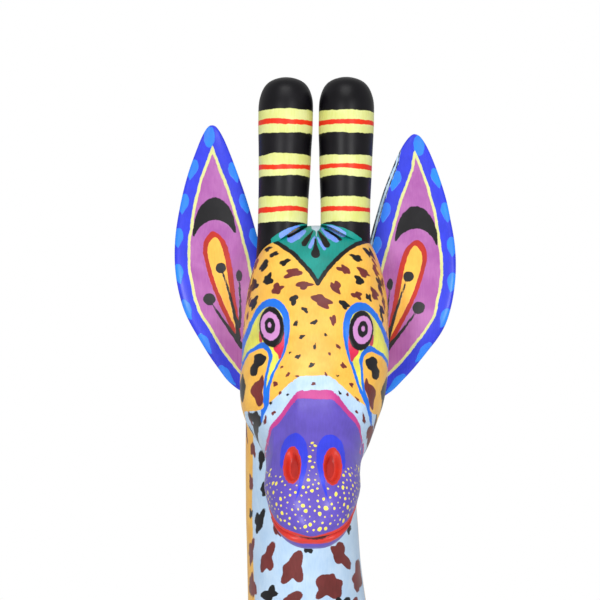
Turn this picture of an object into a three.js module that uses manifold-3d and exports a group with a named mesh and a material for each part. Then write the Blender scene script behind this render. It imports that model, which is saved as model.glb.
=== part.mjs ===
// A carved and painted wooden giraffe, standing on its own four hooves.
// It is put together as such carvings are: head, neck, body and legs are separate blocks joined
// by glued dowels, and the ears, horns and tail are push-fit pieces with square tenons.
// Millimetres, +Z up. The giraffe faces -Y, and its right side is at -X.
import * as THREE from "three";
import Module from "manifold-3d";
import { mergeVertices } from "three/addons/utils/BufferGeometryUtils.js";

const wasm = await Module();
wasm.setup();

// ---- driving dimensions ----
const FIT = 0.3; // gap left between neighbouring pieces
const GROUND = 0;

const head = { origin: [0, 0, 645], pitch: 37, square: 2.35 }; // the head's own axis dips by pitch degrees
// Carved features of the face, each placed by its distance along the head, above it and across it.
const face = {
  eye: { at: [48, 19.2, 15.2], radii: [4.6, 8.6, 2.6], turn: 31 },
  nostril: { at: [113.5, 13.6, 7.2], radii: [3, 8, 2.4], turn: 14 },
  mouth: { from: 110, above: -4, gap: 0.9, depth: 1.3 },
};
const horn = { across: { left: 10.4, right: 12.2 }, foot: [-19, 650], lean: 9, tenon: 7, from: 16, to: -3 };
// The left ear sits a little lower than the right one.
const ear = { drop: { left: 2.8, right: 0 }, tenonTall: 7, tenonDeep: 4, tenonFrom: 24, tenonTo: 10, tenonAt: [-8.2, 629] };
const earHollow = 0.8;
const tail = { tenon: 6, tenonFrom: 214, tenonTo: 243, tenonHeight: 349.5 };
const dowels = {
  head: { radius: 3, x: -4.5, front: [-11, 592, 631], rear: [2, 598, 630] }, // y, then z from and to
  neck: { radius: 5, centre: [66, 396], lean: 30, reach: 27, spread: 14 },
  leg: { radius: 4, x: 27, front: [66, 276, 340], hind: [203, 256, 320] },
};

// Stations are [x, y, z, half width, half depth] down a spine, in the giraffe's frame.
const neckStations = [
  [-4.5, -9, 640, 0, 0],
  [-4.5, -8.5, 638, 11, 11.5],
  [-4.8, -7.5, 630, 16.5, 18],
  [-5.7, -4.5, 612, 19.2, 20.5],
  [-5.9, 0, 590, 19.7, 22],
  [-5.5, 6, 565, 20.2, 24],
  [-4, 14, 535, 21.5, 26],
  [-1.5, 25, 492, 24.5, 29],
  [0, 40, 446, 28, 34.5],
  [0, 56, 405, 33, 41],
  [0, 71, 374, 35, 44],
  [0, 84, 352, 30, 38],
  [0, 92, 338, 16, 20],
  [0, 94, 335, 0, 0],
];
const bodyStations = [
  [0, 24, 352, 0, 0],
  [0, 27, 352, 20, 23],
  [0, 40, 351, 34, 42],
  [0, 65, 349, 42, 54],
  [0, 95, 345, 45, 57],
  [0, 130, 338, 45.5, 54],
  [0, 170, 330, 44, 50],
  [0, 205, 324, 42, 47],
  [0, 228, 320, 34, 39],
  [0, 241, 318, 19, 22],
  [0, 245, 317, 0, 0],
];
// The legs are given for the left side, at +X.
const frontLegStations = [
  [18, 66, 396, 0, 0],
  [20, 66, 390, 11, 17],
  [26, 66, 366, 18, 28],
  [29.5, 66, 330, 19.5, 29],
  [29.5, 65, 290, 17, 24],
  [28.5, 63, 250, 14.5, 18],
  [27.5, 62, 205, 12.6, 14],
  [27, 61, 172, 13, 14.2],
  [27, 61, 142, 12, 12.5],
  [27, 60, 100, 10.5, 11],
  [27, 59, 62, 10, 10.5],
  [27, 58, 38, 11.5, 12.5],
  [27, 56, 22, 14, 16],
  [27, 54, 4, 15.5, 18.5],
  [27, 54, -8, 12, 14],
  [27, 54, -12, 0, 0],
];
const hindLegStations = [
  [16, 200, 382, 0, 0],
  [18, 200, 376, 11, 18],
  [24, 202, 354, 18.5, 32],
  [28, 203, 320, 21, 35],
  [28.5, 203, 285, 19, 30],
  [28, 205, 250, 16, 22],
  [28, 210, 215, 13.5, 16.5],
  [28, 216, 182, 12.6, 14.6],
  [28, 216, 150, 12, 13],
  [28, 212, 108, 10.5, 11],
  [28, 209, 62, 10, 10.5],
  [28, 207, 38, 11.5, 12.5],
  [28, 204, 22, 14, 16],
  [28, 202, 4, 15.5, 18.5],
  [28, 202, -8, 12, 14],
  [28, 202, -12, 0, 0],
];
// One ear, given for the left side, from its lowest point to its tip.
const earStations = [
  [24.8, -9, 606.8, 0, 0],
  [25.9, -9, 611.4, 5.4, 2],
  [27.3, -9, 618.6, 9, 2.9],
  [29.8, -9, 629.4, 12.9, 3.5],
  [32.7, -8.5, 640.2, 15.3, 3.6],
  [34.8, -7, 651, 15.7, 3.5],
  [36.2, -5, 661.8, 14.5, 3.3],
  [36.9, -3, 672.5, 12.2, 3],
  [37.4, -1, 683.3, 9.1, 2.7],
  [37.6, 1, 694, 5.2, 2.3],
  [37.7, 2, 701, 2, 1.7],
  [37.7, 2.2, 702.6, 0, 0],
];
const tailStations = [
  [0, 230, 347, 0, 0],
  [0, 232, 347.5, 3.5, 3.5],
  [0, 240, 349.5, 5.2, 5.2],
  [0, 250, 345, 4.8, 4.8],
  [0, 257, 330, 4.2, 4.2],
  [0, 260, 300, 3.7, 3.7],
  [0, 260, 262, 3.6, 3.6],
  [0, 260, 242, 4.6, 4.6],
  [0, 260, 222, 8.4, 7.6],
  [0, 260, 198, 10, 9],
  [0, 259, 172, 7, 6.4],
  [0, 258, 152, 2.6, 2.4],
  [0, 258, 148, 0, 0],
];
// Stations of one horn are [height up its own axis, radius].
const hornStations = [
  [-4, 0],
  [-3, 6],
  [2, 8.9],
  [14, 8.8],
  [28, 8.9],
  [42, 9.3],
  [54, 9.75],
  [62, 9.4],
  [67.5, 6.4],
  [69.5, 0],
];
// Stations of the head, from nose to nape, are [distance along its axis, half width, top, bottom].
const headStations = [
  [132.5, 0, -2, -2],
  [131.3, 6.2, 2.5, -5.5],
  [128, 11.6, 7.4, -10.8],
  [121, 15, 11.8, -15.4],
  [110, 16.6, 13.8, -16.8],
  [98, 16.3, 13.6, -16.8],
  [88, 17.2, 14.6, -17.2],
  [78, 20.4, 16.8, -18.6],
  [68, 23.6, 19.4, -20.2],
  [56, 25.6, 22.6, -21.8],
  [42, 25.8, 25.8, -22.6],
  [26, 25.4, 29.4, -22],
  [13, 24.2, 31.4, -19.8],
  [4, 21, 30.2, -15.4],
  [-2, 13, 21.5, -7],
  [-4, 0, 7.5, 7.5],
];

// ---- shape helpers ----
const radians = THREE.MathUtils.degToRad;
const xAxis = new THREE.Vector3(1, 0, 0);

// The station past an end repeats its neighbour with the girth turned over, which rounds the end off.
function stationAt(stations, i) {
  const last = stations.length - 1;
  if (i >= 0 && i <= last) return stations[i];
  const [x, y, z, w, h] = stations[i < 0 ? 1 : last - 1];
  return [x, y, z, -w, -h];
}

// A smooth (uniform Catmull-Rom) value of each column, with t running from 0 to 1 down the stations.
function between(stations, t) {
  const at = Math.min(t, 1 - 1e-9) * (stations.length - 1);
  const i = Math.floor(at);
  const f = at - i;
  const weights = [
    (-f + 2 * f * f - f * f * f) / 2,
    (2 - 5 * f * f + 3 * f * f * f) / 2,
    (f + 4 * f * f - 3 * f * f * f) / 2,
    (f * f * f - f * f) / 2,
  ];
  const near = [-1, 0, 1, 2].map((k) => stationAt(stations, i + k));
  return near[0].map((_, column) => near.reduce((sum, row, k) => sum + weights[k] * row[column], 0));
}

// cos and sin of an angle, pushed towards a square as `square` rises over 2.
function squared(value, square) {
  return Math.sign(value) * Math.abs(value) ** (2 / square);
}

// A closed carved limb: rings of the stations' girth square to the spine, `around` by `along` faces.
// Girth is widened by `grow`, which makes the cutter for a neighbour that has to stay clear, and
// `hollow` dishes the front of it.
function limb(stations, around, along, { square = 2, grow = 0, hollow = 0, lowest = -Infinity } = {}) {
  const geometry = new THREE.SphereGeometry(1, around, along);
  const position = geometry.getAttribute("position");
  const step = 0.4 / (stations.length - 1);
  for (let ring = 0; ring <= along; ring++) {
    const t = ring / along;
    const [x, y, z, w, h] = between(stations, t);
    const ahead = new THREE.Vector3(...between(stations, Math.min(1, t + step)));
    const behind = new THREE.Vector3(...between(stations, Math.max(0, t - step)));
    const tangent = ahead.sub(behind).normalize();
    const side = xAxis.clone().addScaledVector(tangent, -xAxis.dot(tangent)).normalize();
    const up = side.clone().cross(tangent);
    const inside = ring > 0 && ring < along;
    for (let k = 0; k <= around; k++) {
      const angle = (2 * Math.PI * (k % around)) / around;
      const point = new THREE.Vector3(x, y, z).addScaledVector(tangent, grow * (2 * t - 1));
      if (inside) {
        const [wide, deep] = [Math.max(w + grow, 0.05), Math.max(h + grow, 0.05)];
        const front = squared(Math.sin(angle), square);
        point.addScaledVector(side, wide * squared(Math.cos(angle), square));
        point.addScaledVector(up, deep * (front - hollow * Math.max(0, front) ** 2));
      }
      position.setXYZ(ring * (around + 1) + k, point.x, point.y, Math.max(point.z, lowest));
    }
  }
  return geometry;
}

// The stations of a limb on the other side of the giraffe.
function mirrored(stations) {
  return stations.map(([x, ...rest]) => [-x, ...rest]);
}

// A straight bar, square with a width and a depth or round with a radius, from one point to another.
function bar(from, to, { radius, width, depth, grow = 0 }) {
  const start = new THREE.Vector3(...from);
  const end = new THREE.Vector3(...to);
  const length = start.distanceTo(end) + 2 * grow;
  const geometry = radius
    ? new THREE.CylinderGeometry(radius + grow, radius + grow, length, 12)
    : new THREE.BoxGeometry(width + 2 * grow, length, depth + 2 * grow);
  const axis = end.clone().sub(start).normalize();
  geometry.applyQuaternion(new THREE.Quaternion().setFromUnitVectors(new THREE.Vector3(0, 1, 0), axis));
  return geometry.translate(...start.lerp(end, 0.5).toArray());
}

// ---- manifold-3d, which only joins and cuts ----
function solid(geometry) {
  geometry.deleteAttribute("normal");
  geometry.deleteAttribute("uv");
  const merged = mergeVertices(geometry, 1e-3);
  return new wasm.Manifold(
    new wasm.Mesh({
      numProp: 3,
      vertProperties: merged.getAttribute("position").array,
      triVerts: new Uint32Array(merged.index.array),
    }),
  );
}

function largest(made) {
  return made.decompose().reduce((best, each) => (each.volume() > best.volume() ? each : best));
}

function without(made, ...cutters) {
  return cutters.reduce((left, cutter) => left.subtract(cutter), made);
}

const paints = {
  ochre: new THREE.MeshStandardMaterial({ color: "#f6be4b", roughness: 0.45 }),
  skyBlue: new THREE.MeshStandardMaterial({ color: "#b8dcf2", roughness: 0.45 }),
  ultramarine: new THREE.MeshStandardMaterial({ color: "#3a45f0", roughness: 0.42 }),
  black: new THREE.MeshStandardMaterial({ color: "#15141b", roughness: 0.35 }),
  bareWood: new THREE.MeshStandardMaterial({ color: "#c9a36b", roughness: 0.7 }),
};

// A named mesh whose own origin is the point where the piece is joined on.
function piece(name, made, paint, joinedAt) {
  const { vertProperties, triVerts, numProp } = made.getMesh();
  if (numProp !== 3) throw new Error(`${name} carries more than positions`);
  const geometry = new THREE.BufferGeometry();
  geometry.setAttribute("position", new THREE.BufferAttribute(new Float32Array(vertProperties), 3));
  geometry.setIndex(new THREE.BufferAttribute(new Uint32Array(triVerts), 1));
  geometry.translate(...joinedAt.map((value) => -value));
  geometry.computeVertexNormals();
  const mesh = new THREE.Mesh(geometry, paint);
  mesh.name = name;
  mesh.position.set(...joinedAt);
  return mesh;
}

// ---- dowels ----
function headDowels(grow = 0) {
  const { radius, x, front, rear } = dowels.head;
  return [front, rear].map(([y, from, to]) => bar([x, y, from], [x, y, to], { radius, grow }));
}

function neckDowels(grow = 0) {
  const { radius, centre, lean, reach, spread } = dowels.neck;
  const [sin, cos] = [Math.sin(radians(lean)), Math.cos(radians(lean))];
  return [-1, 1].map((side) => {
    const [y, z] = [centre[0] + side * spread * cos, centre[1] + side * spread * sin];
    const top = [0, y - reach * sin, z + reach * cos];
    return bar(top, [0, y + reach * sin, z - reach * cos], { radius, grow });
  });
}

function legDowel(side, [y, from, to], grow = 0) {
  const { radius, x } = dowels.leg;
  return bar([side * x, y, from], [side * x, y, to], { radius, grow });
}

// ---- head ----
// A point of the head, given along its axis, above it and across it, in the giraffe's frame.
function headPoint(along, above, across = 0) {
  const [sin, cos] = [Math.sin(radians(head.pitch)), Math.cos(radians(head.pitch))];
  const [x, y, z] = head.origin;
  return [x + across, y - along * cos - above * sin, z - along * sin + above * cos];
}

function headLimb(grow = 0) {
  const stations = headStations.map(([distance, width, top, bottom]) => [
    ...headPoint(distance, (top + bottom) / 2),
    width,
    (top - bottom) / 2,
  ]);
  return limb(stations, 28, 30, { square: head.square, grow });
}

function neckLimb(grow = 0) {
  return limb(neckStations, 22, 20, { grow });
}

function bodyLimb(grow = 0) {
  return limb(bodyStations, 24, 18, { square: 2.2, grow });
}

// A geometry made facing -Y is turned with the head and set at a place on it.
function onHead(geometry, [along, above, across]) {
  return geometry.rotateX(radians(head.pitch)).translate(...headPoint(along, above, across));
}

// An egg that raises or hollows the head's surface on one side of the face.
function egg({ at: [along, above, across], radii, turn }, side) {
  const geometry = new THREE.SphereGeometry(1, 16, 12).scale(...radii).rotateY(radians(side * turn));
  return onHead(geometry, [along, above, side * across]);
}

// The slit of the mouth runs round the front of the muzzle and is only as deep as `depth`.
function mouthGroove() {
  const { from, above, gap, depth } = face.mouth;
  const room = 60;
  const slab = onHead(new THREE.BoxGeometry(room, room, gap), [from + room / 2, above, 0]);
  return solid(slab).subtract(solid(headLimb(-depth)));
}

function earTenon({ name, side }, grow = 0) {
  const { tenonTall, tenonDeep, tenonFrom, tenonTo, tenonAt, drop } = ear;
  const size = { width: tenonTall, depth: tenonDeep, grow };
  const at = [tenonAt[0], tenonAt[1] - drop[name]];
  return bar([side * tenonFrom, ...at], [side * tenonTo, ...at], size);
}

function earLimb({ name, side }) {
  const stations = earStations.map(([x, y, z, w, h]) => [side * x, y, z - ear.drop[name], w, h]);
  return limb(stations, 20, 18, { hollow: earHollow });
}

function hornAxisPoint({ name, side }, height) {
  const [y, z] = horn.foot;
  const lean = radians(horn.lean);
  return [side * horn.across[name], y + height * Math.sin(lean), z + height * Math.cos(lean)];
}

function hornTenon(which, grow = 0) {
  const size = { width: horn.tenon, depth: horn.tenon, grow };
  return bar(hornAxisPoint(which, horn.from), hornAxisPoint(which, horn.to), size);
}

function hornLimb(which) {
  const stations = hornStations.map(([height, radius]) => [
    ...hornAxisPoint(which, height),
    radius,
    radius,
  ]);
  return limb(stations, 18, 16);
}

function tailTenon(grow = 0) {
  const { tenon, tenonFrom, tenonTo, tenonHeight } = tail;
  const size = { width: tenon, depth: tenon, grow };
  return bar([0, tenonTo, tenonHeight], [0, tenonFrom, tenonHeight], size);
}

// ---- the pieces ----
const sides = [
  { name: "left", side: 1 },
  { name: "right", side: -1 },
];

function makeHead() {
  const eyes = sides.map(({ side }) => solid(egg(face.eye, side)));
  const nostrils = sides.map(({ side }) => egg(face.nostril, side));
  const sockets = sides.flatMap((which) => [earTenon(which, FIT), hornTenon(which, FIT)]);
  const block = eyes.reduce((joined, eye) => joined.add(eye), solid(headLimb()));
  const cut = without(block, mouthGroove(), ...[...nostrils, ...sockets, ...headDowels(FIT)].map(solid));
  return piece("head", largest(cut), paints.ochre, head.origin);
}

function makeNeck() {
  const grown = [headLimb(FIT), bodyLimb(FIT)];
  const tenons = sides.map((which) => earTenon(which, FIT));
  const holes = [...headDowels(FIT), ...neckDowels(FIT), ...tenons];
  const made = without(solid(neckLimb()), ...[...grown, ...holes].map(solid));
  return piece("neck", largest(made), paints.skyBlue, [0, 66, 396]);
}

function makeBody() {
  const holes = [...neckDowels(FIT), tailTenon(FIT)];
  for (const { side } of sides) {
    holes.push(legDowel(side, dowels.leg.front, FIT), legDowel(side, dowels.leg.hind, FIT));
  }
  const made = without(solid(bodyLimb()), ...holes.map(solid));
  return piece("body", made, paints.ochre, [0, 130, 338]);
}

function makeLeg(name, stations, side, dowel) {
  const cutters = [bodyLimb(FIT), neckLimb(FIT), legDowel(side, dowel, FIT)];
  const shape = limb(side > 0 ? stations : mirrored(stations), 14, 26, { lowest: GROUND });
  const made = largest(without(solid(shape), ...cutters.map(solid)));
  return piece(name, made, paints.ochre, [side * dowels.leg.x, dowel[0], dowel[1]]);
}

function makeEar(which) {
  const neighbours = [headLimb(FIT), neckLimb(FIT)];
  const trimmed = largest(without(solid(earLimb(which)), ...neighbours.map(solid)));
  const made = trimmed.add(solid(earTenon(which)));
  const joinedAt = [which.side * ear.tenonFrom, ear.tenonAt[0], ear.tenonAt[1] - ear.drop[which.name]];
  return piece(`ear_${which.name}`, made, paints.ultramarine, joinedAt);
}

function makeHorn(which) {
  const trimmed = largest(without(solid(hornLimb(which)), solid(headLimb(FIT))));
  const made = trimmed.add(solid(hornTenon(which)));
  return piece(`horn_${which.name}`, made, paints.black, hornAxisPoint(which, horn.from));
}

function makeTail() {
  const trimmed = largest(without(solid(limb(tailStations, 12, 22)), solid(bodyLimb(FIT))));
  const made = trimmed.add(solid(tailTenon()));
  return piece("tail", made, paints.ochre, [0, tail.tenonTo, tail.tenonHeight]);
}

const giraffe = new THREE.Group();
giraffe.add(makeHead(), makeNeck(), makeBody(), makeTail());
for (const which of sides) {
  const { name, side } = which;
  giraffe.add(
    makeLeg(`front_leg_${name}`, frontLegStations, side, dowels.leg.front),
    makeLeg(`hind_leg_${name}`, hindLegStations, side, dowels.leg.hind),
    makeEar(which),
    makeHorn(which),
  );
  for (const [which, place] of Object.entries({ front: dowels.leg.front, hind: dowels.leg.hind })) {
    const made = solid(legDowel(side, place));
    const joinedAt = [side * dowels.leg.x, place[0], place[1]];
    giraffe.add(piece(`${which}_leg_dowel_${name}`, made, paints.bareWood, joinedAt));
  }
}
headDowels().forEach((shape, i) => {
  const joinedAt = [dowels.head.x, 0, 610];
  giraffe.add(piece(`head_dowel_${["front", "rear"][i]}`, solid(shape), paints.bareWood, joinedAt));
});
neckDowels().forEach((shape, i) => {
  const joinedAt = [0, ...dowels.neck.centre];
  giraffe.add(piece(`neck_dowel_${["front", "rear"][i]}`, solid(shape), paints.bareWood, joinedAt));
});

// The group's origin is under the middle of the whole figure, on the ground.
const reach = new THREE.Box3().setFromObject(giraffe).getCenter(new THREE.Vector3());
giraffe.position.set(-reach.x, -reach.y, 0);

export default giraffe;
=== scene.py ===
import math

import bpy
import numpy as np
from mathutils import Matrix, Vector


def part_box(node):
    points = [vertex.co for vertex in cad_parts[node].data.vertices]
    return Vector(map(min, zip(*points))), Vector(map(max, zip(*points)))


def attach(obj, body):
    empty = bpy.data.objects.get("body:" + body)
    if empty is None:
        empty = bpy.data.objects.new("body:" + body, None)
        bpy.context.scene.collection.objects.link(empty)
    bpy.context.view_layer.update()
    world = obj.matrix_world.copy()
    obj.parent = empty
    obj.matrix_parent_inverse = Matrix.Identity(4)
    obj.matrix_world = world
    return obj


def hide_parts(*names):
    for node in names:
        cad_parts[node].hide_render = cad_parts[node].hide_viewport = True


# A carved wooden giraffe, painted by hand in acrylics. Every shape is worked out in the carver's
# millimetres (the giraffe looks along -Y, its soles are at z 0) and put into the frame by toFrame.
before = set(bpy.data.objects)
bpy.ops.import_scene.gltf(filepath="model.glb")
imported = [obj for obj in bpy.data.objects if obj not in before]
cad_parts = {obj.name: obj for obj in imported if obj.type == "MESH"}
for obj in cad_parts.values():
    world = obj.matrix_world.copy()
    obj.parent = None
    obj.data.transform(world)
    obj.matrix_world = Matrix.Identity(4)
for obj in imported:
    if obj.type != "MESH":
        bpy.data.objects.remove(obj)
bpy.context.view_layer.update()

frontDowelPlace = 66  # mm from the carver's origin to the front leg dowels, along Y
dowelLow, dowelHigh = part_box("front_leg_dowel_left")
shiftY = (dowelLow.y + dowelHigh.y) / 2 - frontDowelPlace / 1000
far = 6.0  # mm past which a painted edge needs no exact distance
glueLine = 0.12  # mm left between neighbouring blocks


studio = {
    "distance": 3.0,  # m from the camera to the face
    "azimuth": 1.4,  # degrees
    "elevation": 3.0,  # degrees
    "aim": (-5.25, -46.8, 641.7),  # mm
    "lens": 514.0,  # mm
    "sensor": 36,  # mm
    "lampAim": 0.55,  # m above the floor
    "floorRadius": 2.4,  # m
    "floorDrop": 0.0005,  # m, just under the soles
    "floorSides": 96,
    "skyLight": 0.5,
}
azimuth, elevation = math.radians(studio["azimuth"]), math.radians(studio["elevation"])
gazeBack = np.array(
    [math.sin(azimuth) * math.cos(elevation), -math.cos(azimuth) * math.cos(elevation), math.sin(elevation)]
)
gazeRight = np.array([math.cos(azimuth), math.sin(azimuth), 0])
gazeUp = np.cross(gazeBack, gazeRight)
eyeHeight = 632.3  # mm, where the drawings' v is 0


def seen(points):
    # The face was drawn facing its painter: u is mm to the giraffe's left and v mm above its eyes, on
    # a flat sheet through the eyes, with what is nearer the painter drawn a little larger.
    offset = points - np.array(studio["aim"])
    scale = studio["distance"] * 1000 / (studio["distance"] * 1000 - offset @ gazeBack)
    u = (offset @ gazeRight) * scale + studio["aim"][0]
    return u, (offset @ gazeUp) * scale + studio["aim"][2] - eyeHeight


def toFrame(points):
    # mm in the carver's frame to metres in the assembly's frame
    return points * 0.001 + np.array([0, shiftY, 0])


def unit(vectors):
    length = np.linalg.norm(vectors, axis=-1, keepdims=True)
    return vectors / np.maximum(length, 1e-12)


def catmull(padded, at):
    # uniform Catmull-Rom through the rows of padded, whose first and last rows lie past the ends
    at = np.clip(at, 0, len(padded) - 3 - 1e-9)
    i = at.astype(int)
    f = (at - i)[:, None]
    before = padded[i] * (-f + 2 * f * f - f**3)
    here = padded[i + 1] * (2 - 5 * f * f + 3 * f**3)
    after = padded[i + 2] * (f + 4 * f * f - 3 * f**3)
    return (before + here + after + padded[i + 3] * (f**3 - f * f)) / 2


def smoothRows(rows, share):
    # rows are x, y, z, half width, half depth; past an end the girth turns over, which rounds it off
    rows = np.asarray(rows, float)
    flip = np.array([1, 1, 1, -1, -1])
    padded = np.vstack([rows[1] * flip, rows, rows[-2] * flip])
    return catmull(padded, share * (len(rows) - 1))


def evenShares(rows, count):
    # shares of the spine that are evenly spaced along the limb's own profile, ends included
    dense = np.linspace(0, 1, 2000)
    row = smoothRows(rows, dense)
    steps = np.linalg.norm(np.diff(row[:, :3], axis=0), axis=1)
    steps = np.hypot(steps, np.abs(np.diff(row[:, 3:].mean(axis=1))))
    travelled = np.concatenate([[0], np.cumsum(steps)])
    return np.interp(np.linspace(0, travelled[-1], count), travelled, dense)


def squared(value, square):
    return np.sign(value) * np.abs(value) ** (2 / square)


def evenAngles(count, square):
    # angles that are evenly spaced round a superellipse
    dense = np.linspace(0, 2 * np.pi, 4001)
    ring = np.stack([squared(np.cos(dense), square), squared(np.sin(dense), square)], axis=1)
    travelled = np.concatenate([[0], np.cumsum(np.linalg.norm(np.diff(ring, axis=0), axis=1))])
    return np.interp(np.arange(count) * travelled[-1] / count, travelled, dense)


def frameAlong(rows, share):
    # the spine's tangent, and the two directions square to it
    step = 0.4 / (len(rows) - 1)
    ahead = smoothRows(rows, np.minimum(1, share + step))[:, :3]
    behind = smoothRows(rows, np.maximum(0, share - step))[:, :3]
    tangent = unit(ahead - behind)
    side = unit(np.array([1, 0, 0]) - tangent * tangent[:, :1])
    return tangent, side, np.cross(side, tangent)


def carve(rows, rings, around, square=2.0, hollow=0.0):
    # A girth carried along a spine: centre + side * w * C(angle) + up * h * S(angle), where C and S
    # are cosine and sine pushed towards a square; hollow sinks the front (the up side) of the ring.
    share = evenShares(rows, rings)
    row = smoothRows(rows, share)
    tangent, side, up = frameAlong(rows, share)
    angle = evenAngles(around, square)
    across, front = squared(np.cos(angle), square), squared(np.sin(angle), square)
    front = front - hollow * np.maximum(0, front) ** 2
    girth = side[:, None] * (row[:, 3, None] * across)[..., None]
    girth = girth + up[:, None] * (row[:, 4, None] * front)[..., None]
    return {
        "points": row[:, None, :3] + girth,
        "row": row,
        "angle": angle,
        "tangent": tangent,
        "up": up,
    }


def normalsOf(form):
    # along cross around, and the tangent itself at the two poles
    points = form["points"]
    alongStep = np.gradient(points, axis=0)
    aroundStep = np.roll(points, -1, axis=1) - np.roll(points, 1, axis=1)
    normal = unit(np.cross(alongStep, aroundStep))
    normal[0] = -form["tangent"][0]
    normal[-1] = form["tangent"][-1]
    return normal


def noise(points, cell, seed):
    # smooth noise from -1 to 1: random heights on a cubic lattice of cell mm, eased between
    table = np.random.default_rng(seed).uniform(-1, 1, (16, 16, 16))
    at = points / cell
    base = np.floor(at).astype(int)
    f = at - base
    f = f * f * (3 - 2 * f)
    total = np.zeros(points.shape[:-1])
    for corner in np.ndindex(2, 2, 2):
        weight = np.prod(np.where(np.array(corner) == 1, f, 1 - f), axis=-1)
        i = (base + corner) % 16
        total += weight * table[i[..., 0], i[..., 1], i[..., 2]]
    return total


def bump(distance, reach):
    # 0 outside, easing to 1 by reach mm inside an outline
    f = np.clip(distance / reach, 0, 1)
    return f * f * (3 - 2 * f)


def insideOf(rows, direction, square=2.0, grow=glueLine):
    # a test that is above 0 inside a limb: 1 - |across / w|^square - |up / h|^square
    share = np.linspace(0, 1, 400)
    row = smoothRows(rows, share)
    tangent, _, _ = frameAlong(rows, share)
    direction = unit(np.array(direction, float))
    up = np.cross([1, 0, 0], direction)
    place = row[:, :3] @ direction
    order = np.argsort(place)
    place, row, lean = place[order], row[order], np.abs(tangent[order] @ direction)
    width = np.maximum(row[:, 3], 0) + grow
    depth = (np.maximum(row[:, 4], 0) + grow) / np.maximum(lean, 0.3)

    def test(points):
        at = points @ direction
        centre = np.stack([np.interp(at, place, row[:, k]) for k in range(3)], axis=-1)
        x = np.abs(points - centre)[..., 0] / np.interp(at, place, width)
        y = np.abs((points - centre) @ up) / np.interp(at, place, depth)
        value = 1 - x**square - y**square
        return np.where((at < place[0] - grow) | (at > place[-1] + grow), -1, value)

    return test


def pushClear(points, direction, tests, reach):
    # points inside another block are slid along direction until they are just outside it
    direction = unit(np.array(direction, float))
    low = np.zeros(points.shape[:-1])
    high = np.full(points.shape[:-1], float(reach))

    def inside(distance):
        moved = points + distance[..., None] * direction
        return np.max([test(moved) for test in tests], axis=0) > 0

    caught = inside(low)
    for _ in range(24):
        half = (low + high) / 2
        held = inside(half)
        low, high = np.where(held, half, low), np.where(held, high, half)
    return points + np.where(caught, high, 0)[..., None] * direction


def smoothLine(points, closed=False, steps=7):
    points = np.asarray(points, float)
    if closed:
        padded = np.vstack([points[-1], points, points[:2]])
        return catmull(padded, np.arange(len(points) * steps + 1) / steps)
    padded = np.vstack([2 * points[0] - points[1], points, 2 * points[-1] - points[-2]])
    return catmull(padded, np.linspace(0, len(points) - 1, (len(points) - 1) * steps + 1))


def nearest(u, v, line):
    # distance to the nearest stretch of the line, less its own half width where it has one
    best = np.full(u.shape, 1e9)
    for start, end in zip(line[:-1], line[1:]):
        du, dv = end[0] - start[0], end[1] - start[1]
        t = ((u - start[0]) * du + (v - start[1]) * dv) / max(du * du + dv * dv, 1e-12)
        t = np.clip(t, 0, 1)
        gap = np.hypot(u - start[0] - t * du, v - start[1] - t * dv)
        if len(start) > 2:
            gap = gap - (start[2] + t * (end[2] - start[2]))
        best = np.minimum(best, gap)
    return best


def drawn(u, v, line, closed):
    # works only near the line's own box, since paint elsewhere is simply far away
    low, high = line[:, :2].min(axis=0) - far, line[:, :2].max(axis=0) + far
    near = (u > low[0]) & (u < high[0]) & (v > low[1]) & (v < high[1])
    value = np.full(u.shape, -far)
    un, vn = u[near], v[near]
    gap = nearest(un, vn, line)
    if not closed:
        value[near] = -gap
        return value
    crossed = np.zeros(un.shape, bool)
    for start, end in zip(line[:-1], line[1:]):
        spans = (start[1] > vn) != (end[1] > vn)
        rise = end[1] - start[1] if end[1] != start[1] else 1e-9
        crossed ^= spans & (un < (end[0] - start[0]) * (vn - start[1]) / rise + start[0])
    value[near] = np.where(crossed, gap, -gap)
    return value


def filled(u, v, points, steps=7):
    # a closed shape through a few points
    return drawn(u, v, smoothLine(points, closed=True, steps=steps), closed=True)


def stroke(u, v, points, steps=7):
    # a brush line through points of place and half width
    return drawn(u, v, smoothLine(points, steps=steps), closed=False)


def oval(u, v, centre, radii, turn=0.0):
    # roughly the distance inside an ellipse
    c, s = math.cos(math.radians(turn)), math.sin(math.radians(turn))
    x = ((u - centre[0]) * c + (v - centre[1]) * s) / radii[0]
    y = (-(u - centre[0]) * s + (v - centre[1]) * c) / radii[1]
    return (1 - np.hypot(x, y)) * min(radii)


def over(*values):
    return np.max(np.stack(np.broadcast_arrays(*values)), axis=0)


def within(*values):
    return np.min(np.stack(np.broadcast_arrays(*values)), axis=0)


def only(mask, value):
    # the paint where mask is true, and none elsewhere
    return np.where(mask, value, -far)


lobes = np.array([0.4, 0.75, 0.95, 0.7, 0.45, 0.25, 0.15])  # how much each harmonic bends an outline


def raggedness(rng, rough):
    # how far each harmonic bends one outline, and the angle it starts from
    amounts = rough * rng.uniform(0.4, 1.0, len(lobes)) * lobes
    return amounts, rng.uniform(0, 2 * np.pi, len(lobes))


def raggedOval(x, y, size, bends):
    # mm inside the outline, where x and y are in half lengths and half widths of the spot
    angle, reach = np.arctan2(y, x), np.hypot(x, y)
    outline = 1 + sum(a * np.cos((k + 1) * angle + p) for k, (a, p) in enumerate(zip(*bends)))
    return (outline - reach) * min(size) / 2


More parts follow.
